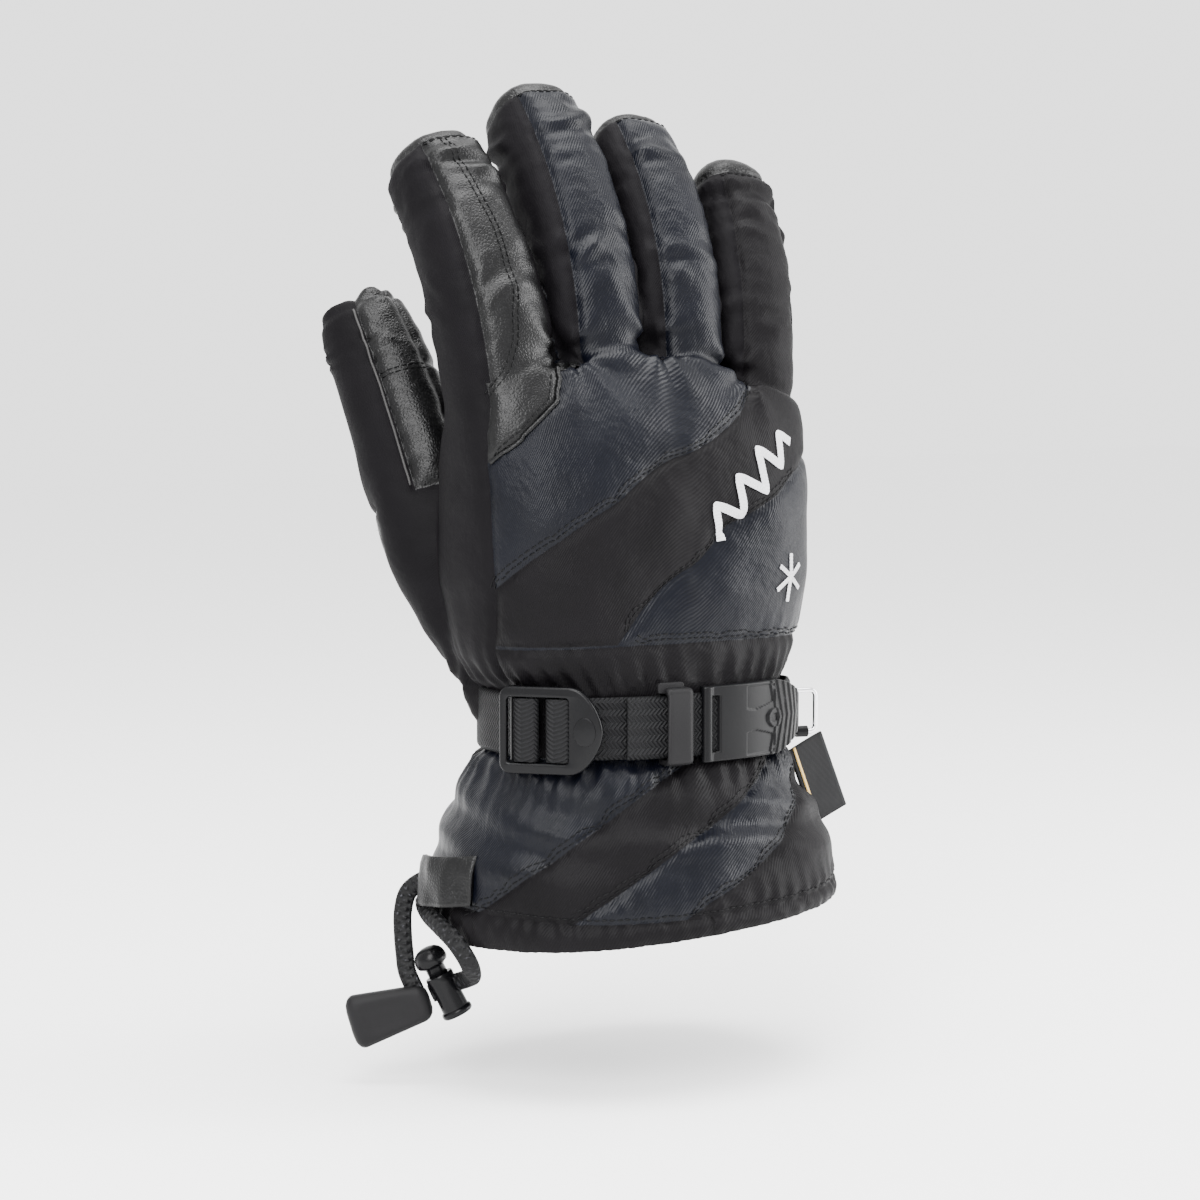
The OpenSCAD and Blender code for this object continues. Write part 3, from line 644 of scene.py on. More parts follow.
def plain_finish(name, colour, rough, speckle=0.0, **settings):
    """Moulded plastic, rubber, wire or thread with a faint unevenness."""
    f = Finish(name, colour, rough, **settings)
    f.bump(f.noise(900, 2), 0.04 + speckle, 0.5)
    f.gloss(f.noise(60, 3), rough - 0.06, rough + 0.08)
    return f.material


def webbing_finish(name, colour):
    """Herringbone webbing: ribs that change slant in lanes along the strap."""
    f = Finish(name, colour, 0.6, Specular_IOR_Level=0.13)
    left, right = f.wave(1.1, "X", 40), f.wave(1.1, "X", -40)
    lanes = f.node("Math", [(0, f.wave(4.2, "Y", 0, "SAW"))], operation="GREATER_THAN")
    lanes.inputs[1].default_value = 0.5
    pick = f.node("Mix", [("Factor", lanes.outputs[0])], data_type="FLOAT")
    f.tree.links.new(left, pick.inputs[2])
    f.tree.links.new(right, pick.inputs[3])
    f.bump(f.noise(1.4, 2, True), 0.15, 0.5)
    f.bump(pick.outputs[0], 0.3, 1.0)
    f.tint(pick.outputs[0], 0.45, 1.5)
    return f.material


def braid_finish(name, colour):
    """Braided cord: strands crossing both ways, with a few paler yarns."""
    f = Finish(name, colour, 0.55, Specular_IOR_Level=0.14)
    one, two = f.wave(2.0, "X", 45), f.wave(2.0, "X", -45)
    cross = f.node("Math", [(0, one), (1, two)], operation="MULTIPLY")
    f.bump(cross.outputs[0], 0.55, 1.0)
    fleck = f.node("MapRange", [("Value", f.noise(1.1, 1, True))], From_Min=0.56, From_Max=0.66)
    part = f.node("Math", [(0, cross.outputs[0]), (1, fleck.outputs[0])], operation="MULTIPLY")
    f.tint(part.outputs[0], 0.8, 14.0)
    return f.material


FINISHES = {
    "shell_navy": cloth_finish("navy_twill", (0.0009, 0.0012, 0.0028), 0.34, 0.75, 0.07, 0.0, 0.5, 0.115),
    "shell_charcoal": cloth_finish("charcoal_twill", (0.0020, 0.0017, 0.0021), 0.5, 0.75, 0.07, 0.0, 0.5,
                                   0.065),
    "softshell": cloth_finish("softshell", (0.0020, 0.0017, 0.0022), 0.64, 0.55, 0.04, 0.0, 0.35, 0.06),
    "leather": leather_finish("goat_leather", (0.0013, 0.0013, 0.0015), 0.34, 900, 0.075),
    "lining": cloth_finish("tricot_lining", (0.015, 0.015, 0.017), 0.85, 1.0, 0.1, 0.05, 0.4, 0.2),
    "webbing": webbing_finish("webbing", (0.0024, 0.0024, 0.0029)),
    "braid": braid_finish("braid", (0.0026, 0.0026, 0.0030)),
    "hard_plastic": plain_finish("satin_plastic", (0.0022, 0.0022, 0.0026), 0.26, Specular_IOR_Level=0.12),
    "rubber": plain_finish("soft_rubber", (0.0018, 0.0018, 0.0022), 0.35, Specular_IOR_Level=0.11),
    "rubber_matt": plain_finish("matt_rubber", (0.0045, 0.0043, 0.0048), 0.55, 0.02, Specular_IOR_Level=0.13),
    "chrome_wire": plain_finish("chrome", (0.8, 0.8, 0.82), 0.14, Metallic=1.0),
    "spring_steel": plain_finish("spring_steel", (0.55, 0.55, 0.56), 0.3, Metallic=1.0),
    "label_cloth": cloth_finish("label_cloth", (0.004, 0.004, 0.0045), 0.6, 0.5, 0.06, 0.0, 0.1, 0.15),
    "label_gold": plain_finish("gold_thread", (0.5, 0.33, 0.1), 0.4),
    "thread": plain_finish("thread", (0.0016, 0.0016, 0.0019), 0.5, Specular_IOR_Level=0.1),
    "embroidery": plain_finish("embroidery", (0.55, 0.55, 0.57), 0.45),
    # A pale finish: the real cut edge of the cord tab, and a painted highlight along the thumb's leather
    # edge.
    "pale_edge_and_highlight": plain_finish("cut_edge", (0.016, 0.015, 0.015), 0.7),
}


def finish_piece(piece, key):
    """Give a piece its finish."""
    piece.data.materials.clear()
    piece.data.materials.append(FINISHES[key])
    return piece


# ---- the glove's cloth and leather panels ----
def noise_at(p, scale, seed=0.0):
    """Smooth noise at points, with lumps about scale millimetres wide."""
    shift = Vector((seed, 7.3 * seed, -3.1 * seed))
    return np.array([noise.noise(Vector(q) + shift) for q in (p / scale).tolist()])


def distance_to(points, p):
    """Distance from each of p to the nearest of points."""
    tree = kdtree.KDTree(len(points))
    for i, q in enumerate(points.tolist()):
        tree.insert(q, i)
    tree.balance()
    return np.array([tree.find(q)[2] for q in p.tolist()])


def seam_points(tris, ids, count):
    """True for the points where triangles of different panels meet."""
    lo, hi = np.full(count, 10 ** 6), np.full(count, -1)
    for k in range(3):
        np.minimum.at(lo, tris[:, k], ids)
        np.maximum.at(hi, tris[:, k], ids)
    return lo != hi


# Panels cut in one piece with the next one, so no seam pulls in between them
RUNS_ON = {"index_back": "knuckle_leather", "index_sides": "thumb_side_panel",
           "thumb_outer": "thumb_side_panel", "middle_back": "back_upper_panel",
           "ring_back": "back_upper_panel", "little_back": "back_band", "index_palm": "palm_leather",
           "middle_palm": "palm_leather", "ring_palm": "palm_leather", "little_palm": "palm_leather",
           "little_sides": "little_side_panel",
           "wrist_elastic_panel": "wrist_back_panel"}
KNOTS = [(0, 185.5), (1, 188.5), (2, 178.0)]


def knot_gathers(p):
    """Cloth drawn together at the knots where the fingers part: fanning folds and a dimple at each."""
    lift = np.zeros(len(p))
    for k, z in KNOTS:
        dx, dz = p[:, 0] - parting_x(k, z), p[:, 2] - z
        away, turn = np.hypot(dx, dz), np.arctan2(dz, dx)
        fan = np.cos(turn * 7 + k * 1.3 + 0.05 * away) * np.exp(-away / 13) * (1 - np.exp(-(away / 4) ** 2))
        lift += np.where(p[:, 1] < 2, 1.5 * fan - 3.0 * np.exp(-(away / 4.0) ** 2), 0)
    return lift


def dressed(verts, tris, names):
    """The skin with its stuffing and sewing: panels puff between seams, seams pull in, cloth wrinkles."""
    joined = names.copy()
    for panel, runs_on in RUNS_ON.items():
        joined[names == panel] = runs_on
    _, ids = np.unique(joined, return_inverse=True)
    on_seam = seam_points(tris, ids, len(verts))
    normals = vertex_normals(verts, tris)
    d = distance_to(verts[on_seam], verts)
    t, z = hand_coords(verts)
    s, turn = finger_coords(verts)
    above = np.clip(rim_level(verts) / 6, 0, 1)
    s_thumb = DIGITS["thumb"].coords(verts)[0]
    on_thumb = np.clip(thumb_level(verts) / 6, 0, 1)
    hand = (1 - above) * (1 - on_thumb)
    big, mid, small = noise_at(verts, 26, 1), noise_at(verts, 11, 2), noise_at(verts, 4.5, 3)
    lift = 1.5 * (1 - np.exp(-d / 8)) - 1.0 * np.exp(-(d / 1.5) ** 2)
    lift += 0.55 * small * np.exp(-d / 5) + 0.5 * mid + 1.0 * big
    # Folds across the fingers, strongest near the tips and over the middle joint
    own = finger_of(verts)
    fold = np.sin(s * (2 * np.pi * 7.5) + 5.0 * big + 1.7 * own + 1.2 * np.sin(np.radians(turn) * 2 + own))
    zone = np.exp(-((s - 0.76) / 0.13) ** 2) + 0.6 * np.exp(-((s - 0.32) / 0.12) ** 2)
    lift += above * 1.55 * fold * zone * np.clip(0.25 + 2.2 * mid, -0.2, 1.3)
    lift += knot_gathers(verts)
    crease = rim_level(verts) - 3 - 2.5 * big
    lift -= np.where(verts[:, 1] < 0, 1.5, 0.6) * np.exp(-(crease / 2.6) ** 2) * (own > 0) * (1 - on_thumb)
    fold_thumb = np.sin(s_thumb * 50 + 2 * big)
    lift += on_thumb * (1 - above) * 0.5 * fold_thumb * np.clip(0.5 + mid, 0, 1)
    # Gathers above and below the strap, and along the hem
    gather = np.sin(np.radians(t) * 46 + 3 * big) * 0.9 + 0.4 * mid
    lift += hand * gather * (np.exp(-np.abs(z - STRAP_HI - 5) / 6) + np.exp(-np.abs(z - STRAP_LO + 5) / 6))
    lift += hand * (0.55 * np.sin(np.radians(t) * 62 + 2 * mid) * np.exp(-np.abs(z - 8) / 4))
    # Slack folds that sag across the cuff below the buckle
    sag = np.sin((z + 0.16 * (t - 230)) * 0.42 + 1.6 * big)
    lift += hand * 1.3 * sag * np.exp(-((z - 34) / 14) ** 2)
    out = verts + normals * (lift * 0.9)[:, None]
    out = smoothed(out, tris, 1, 0.35)
    under = np.exp(-((z - STRAP_Z) / 9) ** 4) * hand
    return out - normals * (under * 0.8)[:, None]


def shelled(verts, tris, normals, thickness):
    """A panel with its own thickness: the outer face, the inner face and the wall round its edge."""
    used, local = np.unique(tris, return_inverse=True)
    local = local.reshape(-1, 3)
    outer = verts[used]
    inner = outer - normals[used] * thickness
    n = len(used)
    edges = np.concatenate([local[:, [0, 1]], local[:, [1, 2]], local[:, [2, 0]]])
    key = np.sort(edges, 1)
    order = np.lexsort((key[:, 1], key[:, 0]))
    same = (key[order][1:] == key[order][:-1]).all(1)
    lone = np.ones(len(edges), bool)
    lone[order[1:][same]] = False
    lone[order[:-1][same]] = False
    rim = edges[lone]
    wall = np.concatenate([np.stack([rim[:, 1], rim[:, 0], rim[:, 0] + n], 1),
                           np.stack([rim[:, 1], rim[:, 0] + n, rim[:, 1] + n], 1)])
    faces = np.concatenate([local, local[:, ::-1] + n, wall])
    return used, np.concatenate([outer, inner]), faces


def add_weave(piece, uv):
    """Flat coordinates in millimetres for the weave, one pair for each point."""
    layer = piece.data.uv_layers.new(name="weave")
    corner = np.zeros(len(piece.data.loops), np.int32)
    piece.data.loops.foreach_get("vertex_index", corner)
    layer.data.foreach_set("uv", uv[corner].astype(np.float32).ravel())


def bend_with(piece, digit):
    """Works out the span at the root of a finger or the thumb, which is not used, and bakes the piece's
    placement into its mesh.
    """
    d = DIGITS[digit]
    a, b = (0.33, 0.52) if digit == "thumb" else (0.0, 0.25)
    start, end = d.centre(np.array([a, b])) * MM
    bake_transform(piece)


# The finish of each panel of the hand, the cuff and the thumb
PANEL_SLOT = {
    "back_upper_panel": "shell_navy", "back_band": "shell_charcoal", "back_lower_panel": "shell_navy",
    "wrist_back_panel": "shell_charcoal", "knuckle_leather": "leather", "palm_leather": "leather",
    "little_side_panel": "shell_charcoal", "thumb_side_panel": "softshell",
    "wrist_elastic_panel": "shell_charcoal", "cuff_front_panel": "shell_charcoal",
    "cuff_side_panel": "shell_navy", "cuff_palm_panel": "shell_charcoal",
    "cuff_thumb_panel": "shell_navy", "hem_band": "shell_charcoal",
    "thumb_outer": "softshell", "thumb_inner": "leather", "thumb_strip": "leather", "thumb_tip": "leather",
}
# The thumb's narrow strip stands for its root, and its tip is one with its inner leather
PANEL_NODE = {"thumb_strip": "thumb_base", "thumb_tip": None}
BACK_SLOT = {"index": "leather", "middle": "shell_navy", "ring": "shell_navy", "little": "shell_charcoal"}


CLOTH_THICK = 1.1


def digit_of(panel):
    """The finger or thumb that a panel belongs to, or None on the hand."""
    first = panel.split("_")[0]
    return first if first in DIGITS and not panel.endswith("_panel") else None


def panel_slot(panel, digit):
    """The finish of a panel; the fingers share theirs by part."""
    if panel in PANEL_SLOT:
        return PANEL_SLOT[panel]
    return {"back": BACK_SLOT[digit], "sides": "softshell"}.get(panel.split("_")[1], "leather")


def make_panels(verts, tris, names):
    """One closed piece of cloth or leather for each panel, with its weave and finish; the hand's panels go on
    the hand's body.
    """
    normals = vertex_normals(verts, tris)
    s_all, turn_all = finger_coords(verts)
    s_thumb, tx, ty = DIGITS["thumb"].coords(verts)
    # Direction round, distance along in millimetres, and millimetres for one degree of direction
    finger_flat = (turn_all, s_all * 88, 0.28)
    flats = {name: finger_flat for name in FINGERS}
    flats["thumb"] = (np.degrees(np.arctan2(ty, tx)) % 360, s_thumb * 119, 0.3)
    flats[None] = (*hand_coords(verts), 0.95)
    for name in sorted(set(names.tolist())):
        digit = digit_of(name)
        used, points, faces = shelled(verts, tris[names == name], normals, CLOTH_THICK)
        piece = make_piece(name + "_cloth", points, faces)
        both_sides = np.concatenate([normals[used], -normals[used]])
        piece.data.normals_split_custom_set_from_vertices(both_sides.tolist())
        across, along, turn_mm = flats[digit]
        across, along = across[used], along[used]
        mid = np.degrees(np.angle(np.exp(1j * np.radians(across)).mean()))
        across = (across - mid + 180) % 360
        uv = np.stack([across * turn_mm, along], 1)
        add_weave(piece, np.concatenate([uv, uv]))
        finish_piece(piece, panel_slot(name, digit))
        if digit:
            bend_with(piece, digit)
        else:
            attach(piece, "hand")
        node = PANEL_NODE.get(name, name)
        if node:
            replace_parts(piece, node)


# ---- strap, buckle and the small parts ----
def strap_frame(t, z=None):
    """Place and axes on the hand at direction t: out of the hand, along the strap, and up."""
    z = STRAP_Z if z is None else z
    here, past = hand_point(t, z), hand_point(t + 0.5, z) - hand_point(t - 0.5, z)
    along = past / np.linalg.norm(past, axis=-1, keepdims=True)
    up = np.broadcast_to((0.0, 0.0, 1.0), np.shape(along))
    return here, np.cross(along, up), along, up


def on_strap(t, local, z=None):
    """Points given as (out, along, up) at one place on the strap."""
    here, out, along, up = strap_frame(float(t), z)
    local = np.asarray(local, float)
    return here + local[..., :1] * out + local[..., 1:2] * along + local[..., 2:3] * up


def grid_piece(name, outer, inner, uv=None):
    """A closed shell between two grids of points of the same size."""
    rows, cols = outer.shape[:2]
    n = rows * cols
    at = np.arange(n).reshape(rows, cols)
    quads = np.stack([at[:-1, :-1], at[:-1, 1:], at[1:, 1:], at[1:, :-1]], -1).reshape(-1, 4)
    edge = np.concatenate([at[0, :], at[1:, -1], at[-1, -2::-1], at[-2:0:-1, 0]])
    ahead = np.roll(edge, -1)
    wall = np.stack([ahead, edge, edge + n, ahead + n], 1)
    faces = np.concatenate([quads, quads[:, ::-1] + n, wall])
    piece = make_piece(name, np.concatenate([outer.reshape(-1, 3), inner.reshape(-1, 3)]), faces)
    if uv is not None:
        add_weave(piece, np.concatenate([uv.reshape(-1, 2)] * 2))
    volume_out(piece)
    return piece


def volume_out(piece):
    """Turn the faces outwards."""
    bm = bmesh.new()
    bm.from_mesh(piece.data)
    bmesh.ops.remove_doubles(bm, verts=bm.verts, dist=1e-7)
    bmesh.ops.recalc_face_normals(bm, faces=bm.faces)
    bm.to_mesh(piece.data)
    bm.free()


def band(name, t0, t1, lift, half, thick, relief=None, cols=70, rows=22):
    """A strip that follows the wrist from direction t0 to t1; half is its half height at each direction."""
    t = np.linspace(t0, t1, cols)
    here, out, _, _ = strap_frame(t)
    step = np.linalg.norm(np.diff(here, axis=0), axis=1)
    u = np.concatenate([[0], np.cumsum(step)])
    v = np.linspace(-1, 1, rows)[:, None] * (half(t) if callable(half) else np.full(cols, half))[None]
    lifts = np.broadcast_to(lift(t) if callable(lift) else lift, (cols,))
    base = here[None] + v[..., None] * np.array([0, 0, 1.0]) + lifts[None, :, None] * out[None]
    height = np.full(v.shape, float(thick))
    if relief is not None:
        height = height + relief(u[None] + 0 * v, v, u[-1])
    edge = np.minimum(1, (1 - np.abs(np.linspace(-1, 1, rows)))[:, None] * rows / 3)
    height = height * (0.55 + 0.45 * np.sqrt(np.clip(edge, 0, 1)))
    uv = np.stack([np.broadcast_to(u[None], v.shape), v], -1)
    return grid_piece(name, base + height[..., None] * out[None], base, uv)


def mesh_of_curve(curve):
    """The curve's own solid as a mesh, its holder object gone."""
    holder = bpy.data.objects.new(curve.name, curve)
    bpy.context.scene.collection.objects.link(holder)
    depsgraph = bpy.context.evaluated_depsgraph_get()
    mesh = bpy.data.meshes.new_from_object(holder.evaluated_get(depsgraph))
    bpy.data.objects.remove(holder)
    return mesh


def outline_plate(name, outlines, depth, bevel, place):
    """A flat plate with rounded edges from closed outlines; place puts (across, up, out) on the glove."""
    curve = bpy.data.curves.new(name, "CURVE")
    curve.dimensions, curve.fill_mode = "2D", "BOTH"
    curve.extrude = depth / 2 - bevel
    curve.bevel_depth, curve.bevel_resolution = bevel, 3
    curve.offset = -bevel
    for outline in outlines:
        spline = curve.splines.new("POLY")
        spline.points.add(len(outline) - 1)
        for point, (x, y) in zip(spline.points, outline):
            point.co = (x, y, 0, 1)
        spline.use_cyclic_u = True
    mesh = mesh_of_curve(curve)
    points = np.array([v.co for v in mesh.vertices])
    faces = [tuple(p.vertices) for p in mesh.polygons]
    piece = make_piece(name, place(points), faces)
    volume_out(piece)
    piece.data.set_sharp_from_angle(angle=math.radians(40))
    return piece


def rounded_box(width, height, radius, steps=6):
    """The outline of a rectangle with round corners."""
    points = []
    for k in range(4):
        a0 = k * math.pi / 2
        cx = (width / 2 - radius) * (1 if k in (0, 3) else -1)
        cy = (height / 2 - radius) * (1 if k in (0, 1) else -1)
        points += [(cx + radius * math.cos(a0 + math.pi / 2 * i / steps),
                    cy + radius * math.sin(a0 + math.pi / 2 * i / steps)) for i in range(steps + 1)]
    return points


def lathe(name, profile, place, sides=48):
    """A turned part from (radius, height) points, smoothed along its profile."""
    t = np.linspace(0, 2 * np.pi, sides, endpoint=False)
    rings = [np.stack([r * np.cos(t), r * np.sin(t), np.full(sides, z)], 1) for r, z in profile]
    verts, faces = loft(rings)
    piece = make_piece(name, place(np.array(verts)), faces)
    volume_out(piece)
    piece.data.set_sharp_from_angle(angle=math.radians(50))
    return piece


def make_strap():
    """The anchor, the adjusting webbing and its tail, in corded webbing."""
    half = (STRAP_HI - STRAP_LO) / 2

    def anchor_lift(t):
        return 0.5 + 2.6 * np.clip((t - 178) / 21, 0, 1) ** 2

    def webbing_lift(t):
        return np.where(t > 342, 0.6, 2.4) - 0.9 * np.clip((t - 336) / 6, 0, 1)

    strips = {
        "strap_anchor": band("anchor_webbing", 158, 199, anchor_lift, half, 1.5),
        "strap_webbing": band("strap_webbing_strip", 224, 372, webbing_lift, half, 1.5, cols=150),
        "strap_tail": band("tail_webbing", 244, 274, 4.2, half, 1.3),
    }
    for node, piece in strips.items():
        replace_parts(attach(finish_piece(piece, "webbing"), "hand"), node)


BUCKLE_T = 215
KEEPER_T = 262
PLATE_OUT = 6.4


def make_buckle():
    """The ladder buckle: a rounded frame, its side ears, and the two folds of webbing in its window."""
    nose = [(17 - 11 * (1 - math.cos(a)) ** 0.8, 14 * math.sin(a))
            for a in np.linspace(-math.pi / 2, math.pi / 2, 23)]
    left = [(-17 + 3.4 * (1 - math.cos(a)), 10.6 + 3.4 * math.sin(a))
            for a in np.linspace(math.pi / 2, 0, 7)]
    outline = nose + left + [(x, -z) for x, z in left[::-1]]
    window = [(x - 4.4, z) for x, z in rounded_box(20.4, 21, 1.2)]
    slim = [(x - 4.4, z) for x, z in rounded_box(21.6, 22.2, 1.6)]
    place = lambda out: lambda p: on_strap(BUCKLE_T, np.stack([p[:, 2] + out, p[:, 0], p[:, 1]], 1))
    plate = outline_plate("buckle_plate", [outline, window], 3.0, 0.75, place(PLATE_OUT + 1.4))
    back = outline_plate("buckle_back", [[(x * 0.96, z * 0.95) for x, z in outline], slim], 1.6, 0.4,
                         place(PLATE_OUT - 0.5))
    round_mark = [(11.2 + 3.6 * math.cos(a), 4.6 * math.sin(a))
                  for a in np.linspace(0, 2 * math.pi, 32, endpoint=False)]
    badge = outline_plate("buckle_badge", [round_mark], 0.5, 0.2, place(PLATE_OUT + 2.95))
    ears, bars = [], []
    for end, k in (("low", -1), ("top", 1)):
        at_ear = lambda p, k=k: on_strap(
            BUCKLE_T, np.stack([p[:, 0] + 4.6, p[:, 2] - 13.5, p[:, 1] + k * 11.9], 1))
        ears.append(outline_plate(f"buckle_ear_{end}", [rounded_box(6.5, 3.4, 1.2)], 3.0, 0.5, at_ear))
    for i, (y, x) in enumerate(((-13.5, 3.0), (-7.2, PLATE_OUT), (3.2, PLATE_OUT))):
        at_bar = lambda p, y=y, x=x: on_strap(BUCKLE_T, np.stack([p[:, 0] + x, p[:, 1] + y, p[:, 2]], 1))
        bars.append(lathe(f"buckle_bar_{i}", [(1.5, -12), (1.5, 12)], at_bar, 20))
    for piece in [plate, back, badge, *ears, *bars]:
        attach(finish_piece(piece, "hard_plastic"), "buckle")
    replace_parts(plate, "buckle_frame")
    for i, (y, width) in enumerate(((-8.6, 8.2), (2.2, 8.4))):
        turn = np.linspace(0, 2 * np.pi, 33)
        x = PLATE_OUT + 0.9 + 1.9 * signed_pow(np.sin(turn), 0.7)
        along = y + width / 2 * signed_pow(np.cos(turn), 0.7)
        z = np.linspace(-10.1, 10.1, 24)
        mid = PLATE_OUT + 0.9
        outer = on_strap(BUCKLE_T, spread(x[None], along[None], z[:, None]))
        inner = on_strap(BUCKLE_T, spread(mid + 0.6 * (x - PLATE_OUT - 0.9)[None],
                                          y + 0.8 * (along - y)[None], z[:, None]))
        uv = spread(z[:, None], turn[None] * 2.4)
        fold = grid_piece(f"webbing_fold_{i}", outer, inner, uv)
        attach(finish_piece(fold, "webbing"), "buckle")
        if i == 0:
            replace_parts(fold, "webbing_wraps")


def make_keeper():
    """The rubber keeper: a waisted band round the strap with a lip at its top."""
    path = np.array(rounded_box(7.0, 25.0, 2.0))
    path = np.concatenate([path, path[:1]])
    y = np.linspace(-1, 1, 9)
    width = 4.6 - 1.2 * np.cos(np.clip(path[:, 1] / 12.5, -1, 1) * np.pi / 2) ** 2
    round_off = np.sqrt(np.clip(1 - y ** 8, 0, 1))
    outer = spread(4.4 + path[:, :1] * (0.97 + 0.03 * round_off[None]), y[None] * width[:, None],
                   path[:, 1:] * (0.98 + 0.02 * round_off[None]))
    inner = spread(4.4 + path[:, :1] * 0.72, y[None] * width[:, None] * 0.97, path[:, 1:] * 0.86)
    ring = grid_piece("keeper_band", on_strap(KEEPER_T, outer), on_strap(KEEPER_T, inner))
    lip = outline_plate("keeper_lip", [rounded_box(9.5, 3.4, 1.0)], 1.6, 0.4, lambda p: on_strap(
        KEEPER_T, np.stack([p[:, 2] + 4.6, p[:, 0] - 2.2, p[:, 1] + 12.6], 1)))
    for piece in (ring, lip):
        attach(finish_piece(piece, "rubber_matt"), "keeper")
    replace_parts(ring, "strap_keeper")


def tab_relief(u, v, length):
    """Rim, slot, facets, ridges and boss of the rubber pull tab, as heights in millimetres."""
    half = 12.4
    h = 0.7 * np.exp(-((u - 1.6) / 1.5) ** 4)
    h = h - 2.2 * np.exp(-((u - 4.9) / 1.25) ** 8) * (np.abs(v) < 9.2)
    nose = np.clip((u - 24) / (length - 24), 0, 1)
    steps = np.floor(nose * 5) / 5
    fan = np.abs(v) / half * 9
    ridge = np.where(u + fan * 0.35 > 30, 0.55 * (np.sin((u + fan * 0.35) * 1.9) > 0), 0)
    facet = (np.abs(v) > 3.2 + 0.25 * np.abs(u - 20)) & (u > 17) & (u < 29) & (np.abs(v) < 11.2)
    h = h + ridge * 0.9 - 0.55 * facet - 0.7 * steps
    boss = np.hypot(u - 28.5, v)
    h = h + 0.8 * (boss < 3.1) - 0.5 * (boss < 1.5)
    return h


def make_pull_tab():
    """The rubber pull tab over the strap's tail."""
    def half(t):
        return np.where(t < 300, 12.4, 12.4 - 8.0 * np.clip((t - 300) / 31, 0, 1) ** 1.35)
    tab = band("tab_rubber", 269.5, 331, 4.3, half, 2.5, tab_relief, cols=170, rows=90)
    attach(finish_piece(tab, "rubber"), "pull_tab")
    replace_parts(tab, "pull_tab")


def make_clip():
    """The webbing loop that holds the wire ring, and the woven label under it."""
    clip_t, clip_z, reach = 347, 63, 6.5
    turn = np.linspace(-np.pi / 2, np.pi / 2, 13)
    bend = [(reach + 2.1 * math.cos(a), 2.1 * math.sin(a)) for a in turn]
    path = np.array([(0.4, -4.5), (1.6, -3.0), (3.4, -2.4), *bend, (3.4, 2.4), (1.6, 3.0), (0.4, 4.5)])
    z = np.linspace(-4.6, 4.6, 9)
    inward = path + np.stack([-0.15 * np.ones(len(path)), -0.5 * path[:, 1]], 1)
    grids = [spread(p[None, :, 0], p[None, :, 1], z[:, None]) for p in (path, inward)]
    loop = grid_piece("clip_webbing", *(on_strap(clip_t, g, clip_z) for g in grids),
                      uv=spread(z[:, None], np.arange(len(path))[None] * 1.2))
    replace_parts(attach(finish_piece(loop, "webbing"), "hand"), "clip_loop")
    lean, u, w = math.radians(-22), np.linspace(0, 15, 14), np.linspace(-14, 14, 24)
    x, up = np.meshgrid(u, w)
    y = 0.9 * np.sin(x / 15 * 2.2) * (0.4 + up / 40)
    base = hand_point(350, 35, 2.2)

    def turned(side, dx=0.0):
        return base + np.stack([(x + dx) * math.cos(lean) + up * math.sin(lean), y + side,
                                -(x + dx) * math.sin(lean) + up * math.cos(lean)], -1)

    label = grid_piece("label_tag", turned(-0.4), turned(0.4), np.stack([x, up], -1))
    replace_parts(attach(finish_piece(label, "label_cloth"), "hand"), "side_label")
    line = grid_piece("label_line", turned(-0.52, 1.6)[:, :2], turned(-0.3, 1.6)[:, :2])
    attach(finish_piece(line, "label_gold"), "hand")


# ---- the hem cord ----
HANG = Matrix.Rotation(math.radians(-33), 3, "Z")
FRONT_LEG = [(-61, -29, 14.5), (-64.6, -23.4, 13.6), (-69.6, -20.8, 9.4), (-71.4, -20.7, 3),
             (-71.4, -21.4, -4), (-70.8, -22.5, -10.6), (-69.9, -24, -16.3), (-67, -25.9, -22.4)]
REAR_LEG = [(-64.6, -18, 6.6), (-64.1, -23.5, 5.3), (-62, -31, 3.5), (-58.4, -38, 1.5), (-53, -44, -2.8),
            (-48.9, -44.4, -9.2), (-48.1, -38.4, -14.7), (-50.4, -30.6, -17.4), (-54.8, -26.5, -19.7),
            (-62, -26, -23.2)]
LOCK_AT = (-57.5, -26, -21)
LOCK_LEAN = math.radians(-26.6)
BARREL_TURNED = [(3.3, -8.6), (4.6, -9.9), (5.1, -9.4), (5.2, -8.6), (5.0, -7.9), (4.5, -7.6),
                 (4.4, -2), (4.6, 2.2), (4.75, 4.0), (4.5, 4.6), (3.4, 4.7)]
HEAD_TURNED = [(3.2, -1.5), (3.2, 7.4), (3.9, 8.0), (4.9, 8.5), (5.35, 9.4), (5.4, 10.4),
               (5.1, 11.8), (4.4, 13.0), (3.2, 13.9), (1.6, 14.4), (0.3, 14.5)]


def hung(points):
    """Points of the hanging cord, turned from its own plane to the glove."""
    return np.asarray(points, float) @ np.array(HANG).T


def smooth_path(points, count):
    """A smooth line through the points, evenly stepped."""
    before, after = 2 * np.array(points[0]) - points[1], 2 * np.array(points[-1]) - points[-2]
    p = np.array([before, *points, after], float)
    dense = []
    for a, b, c, d in zip(p[:-3], p[1:-2], p[2:-1], p[3:]):
        for t in np.linspace(0, 1, 24, endpoint=False):
            dense.append(0.5 * (2 * b + (c - a) * t + (2 * a - 5 * b + 4 * c - d) * t * t
                                + (3 * b - a - 3 * c + d) * t ** 3))
    dense = np.array(dense + [p[-2]])
    far = np.concatenate([[0], np.cumsum(np.linalg.norm(np.diff(dense, axis=0), axis=1))])
    at = np.linspace(0, far[-1], count)
    return np.stack([np.interp(at, far, dense[:, k]) for k in range(3)], 1), far[-1]


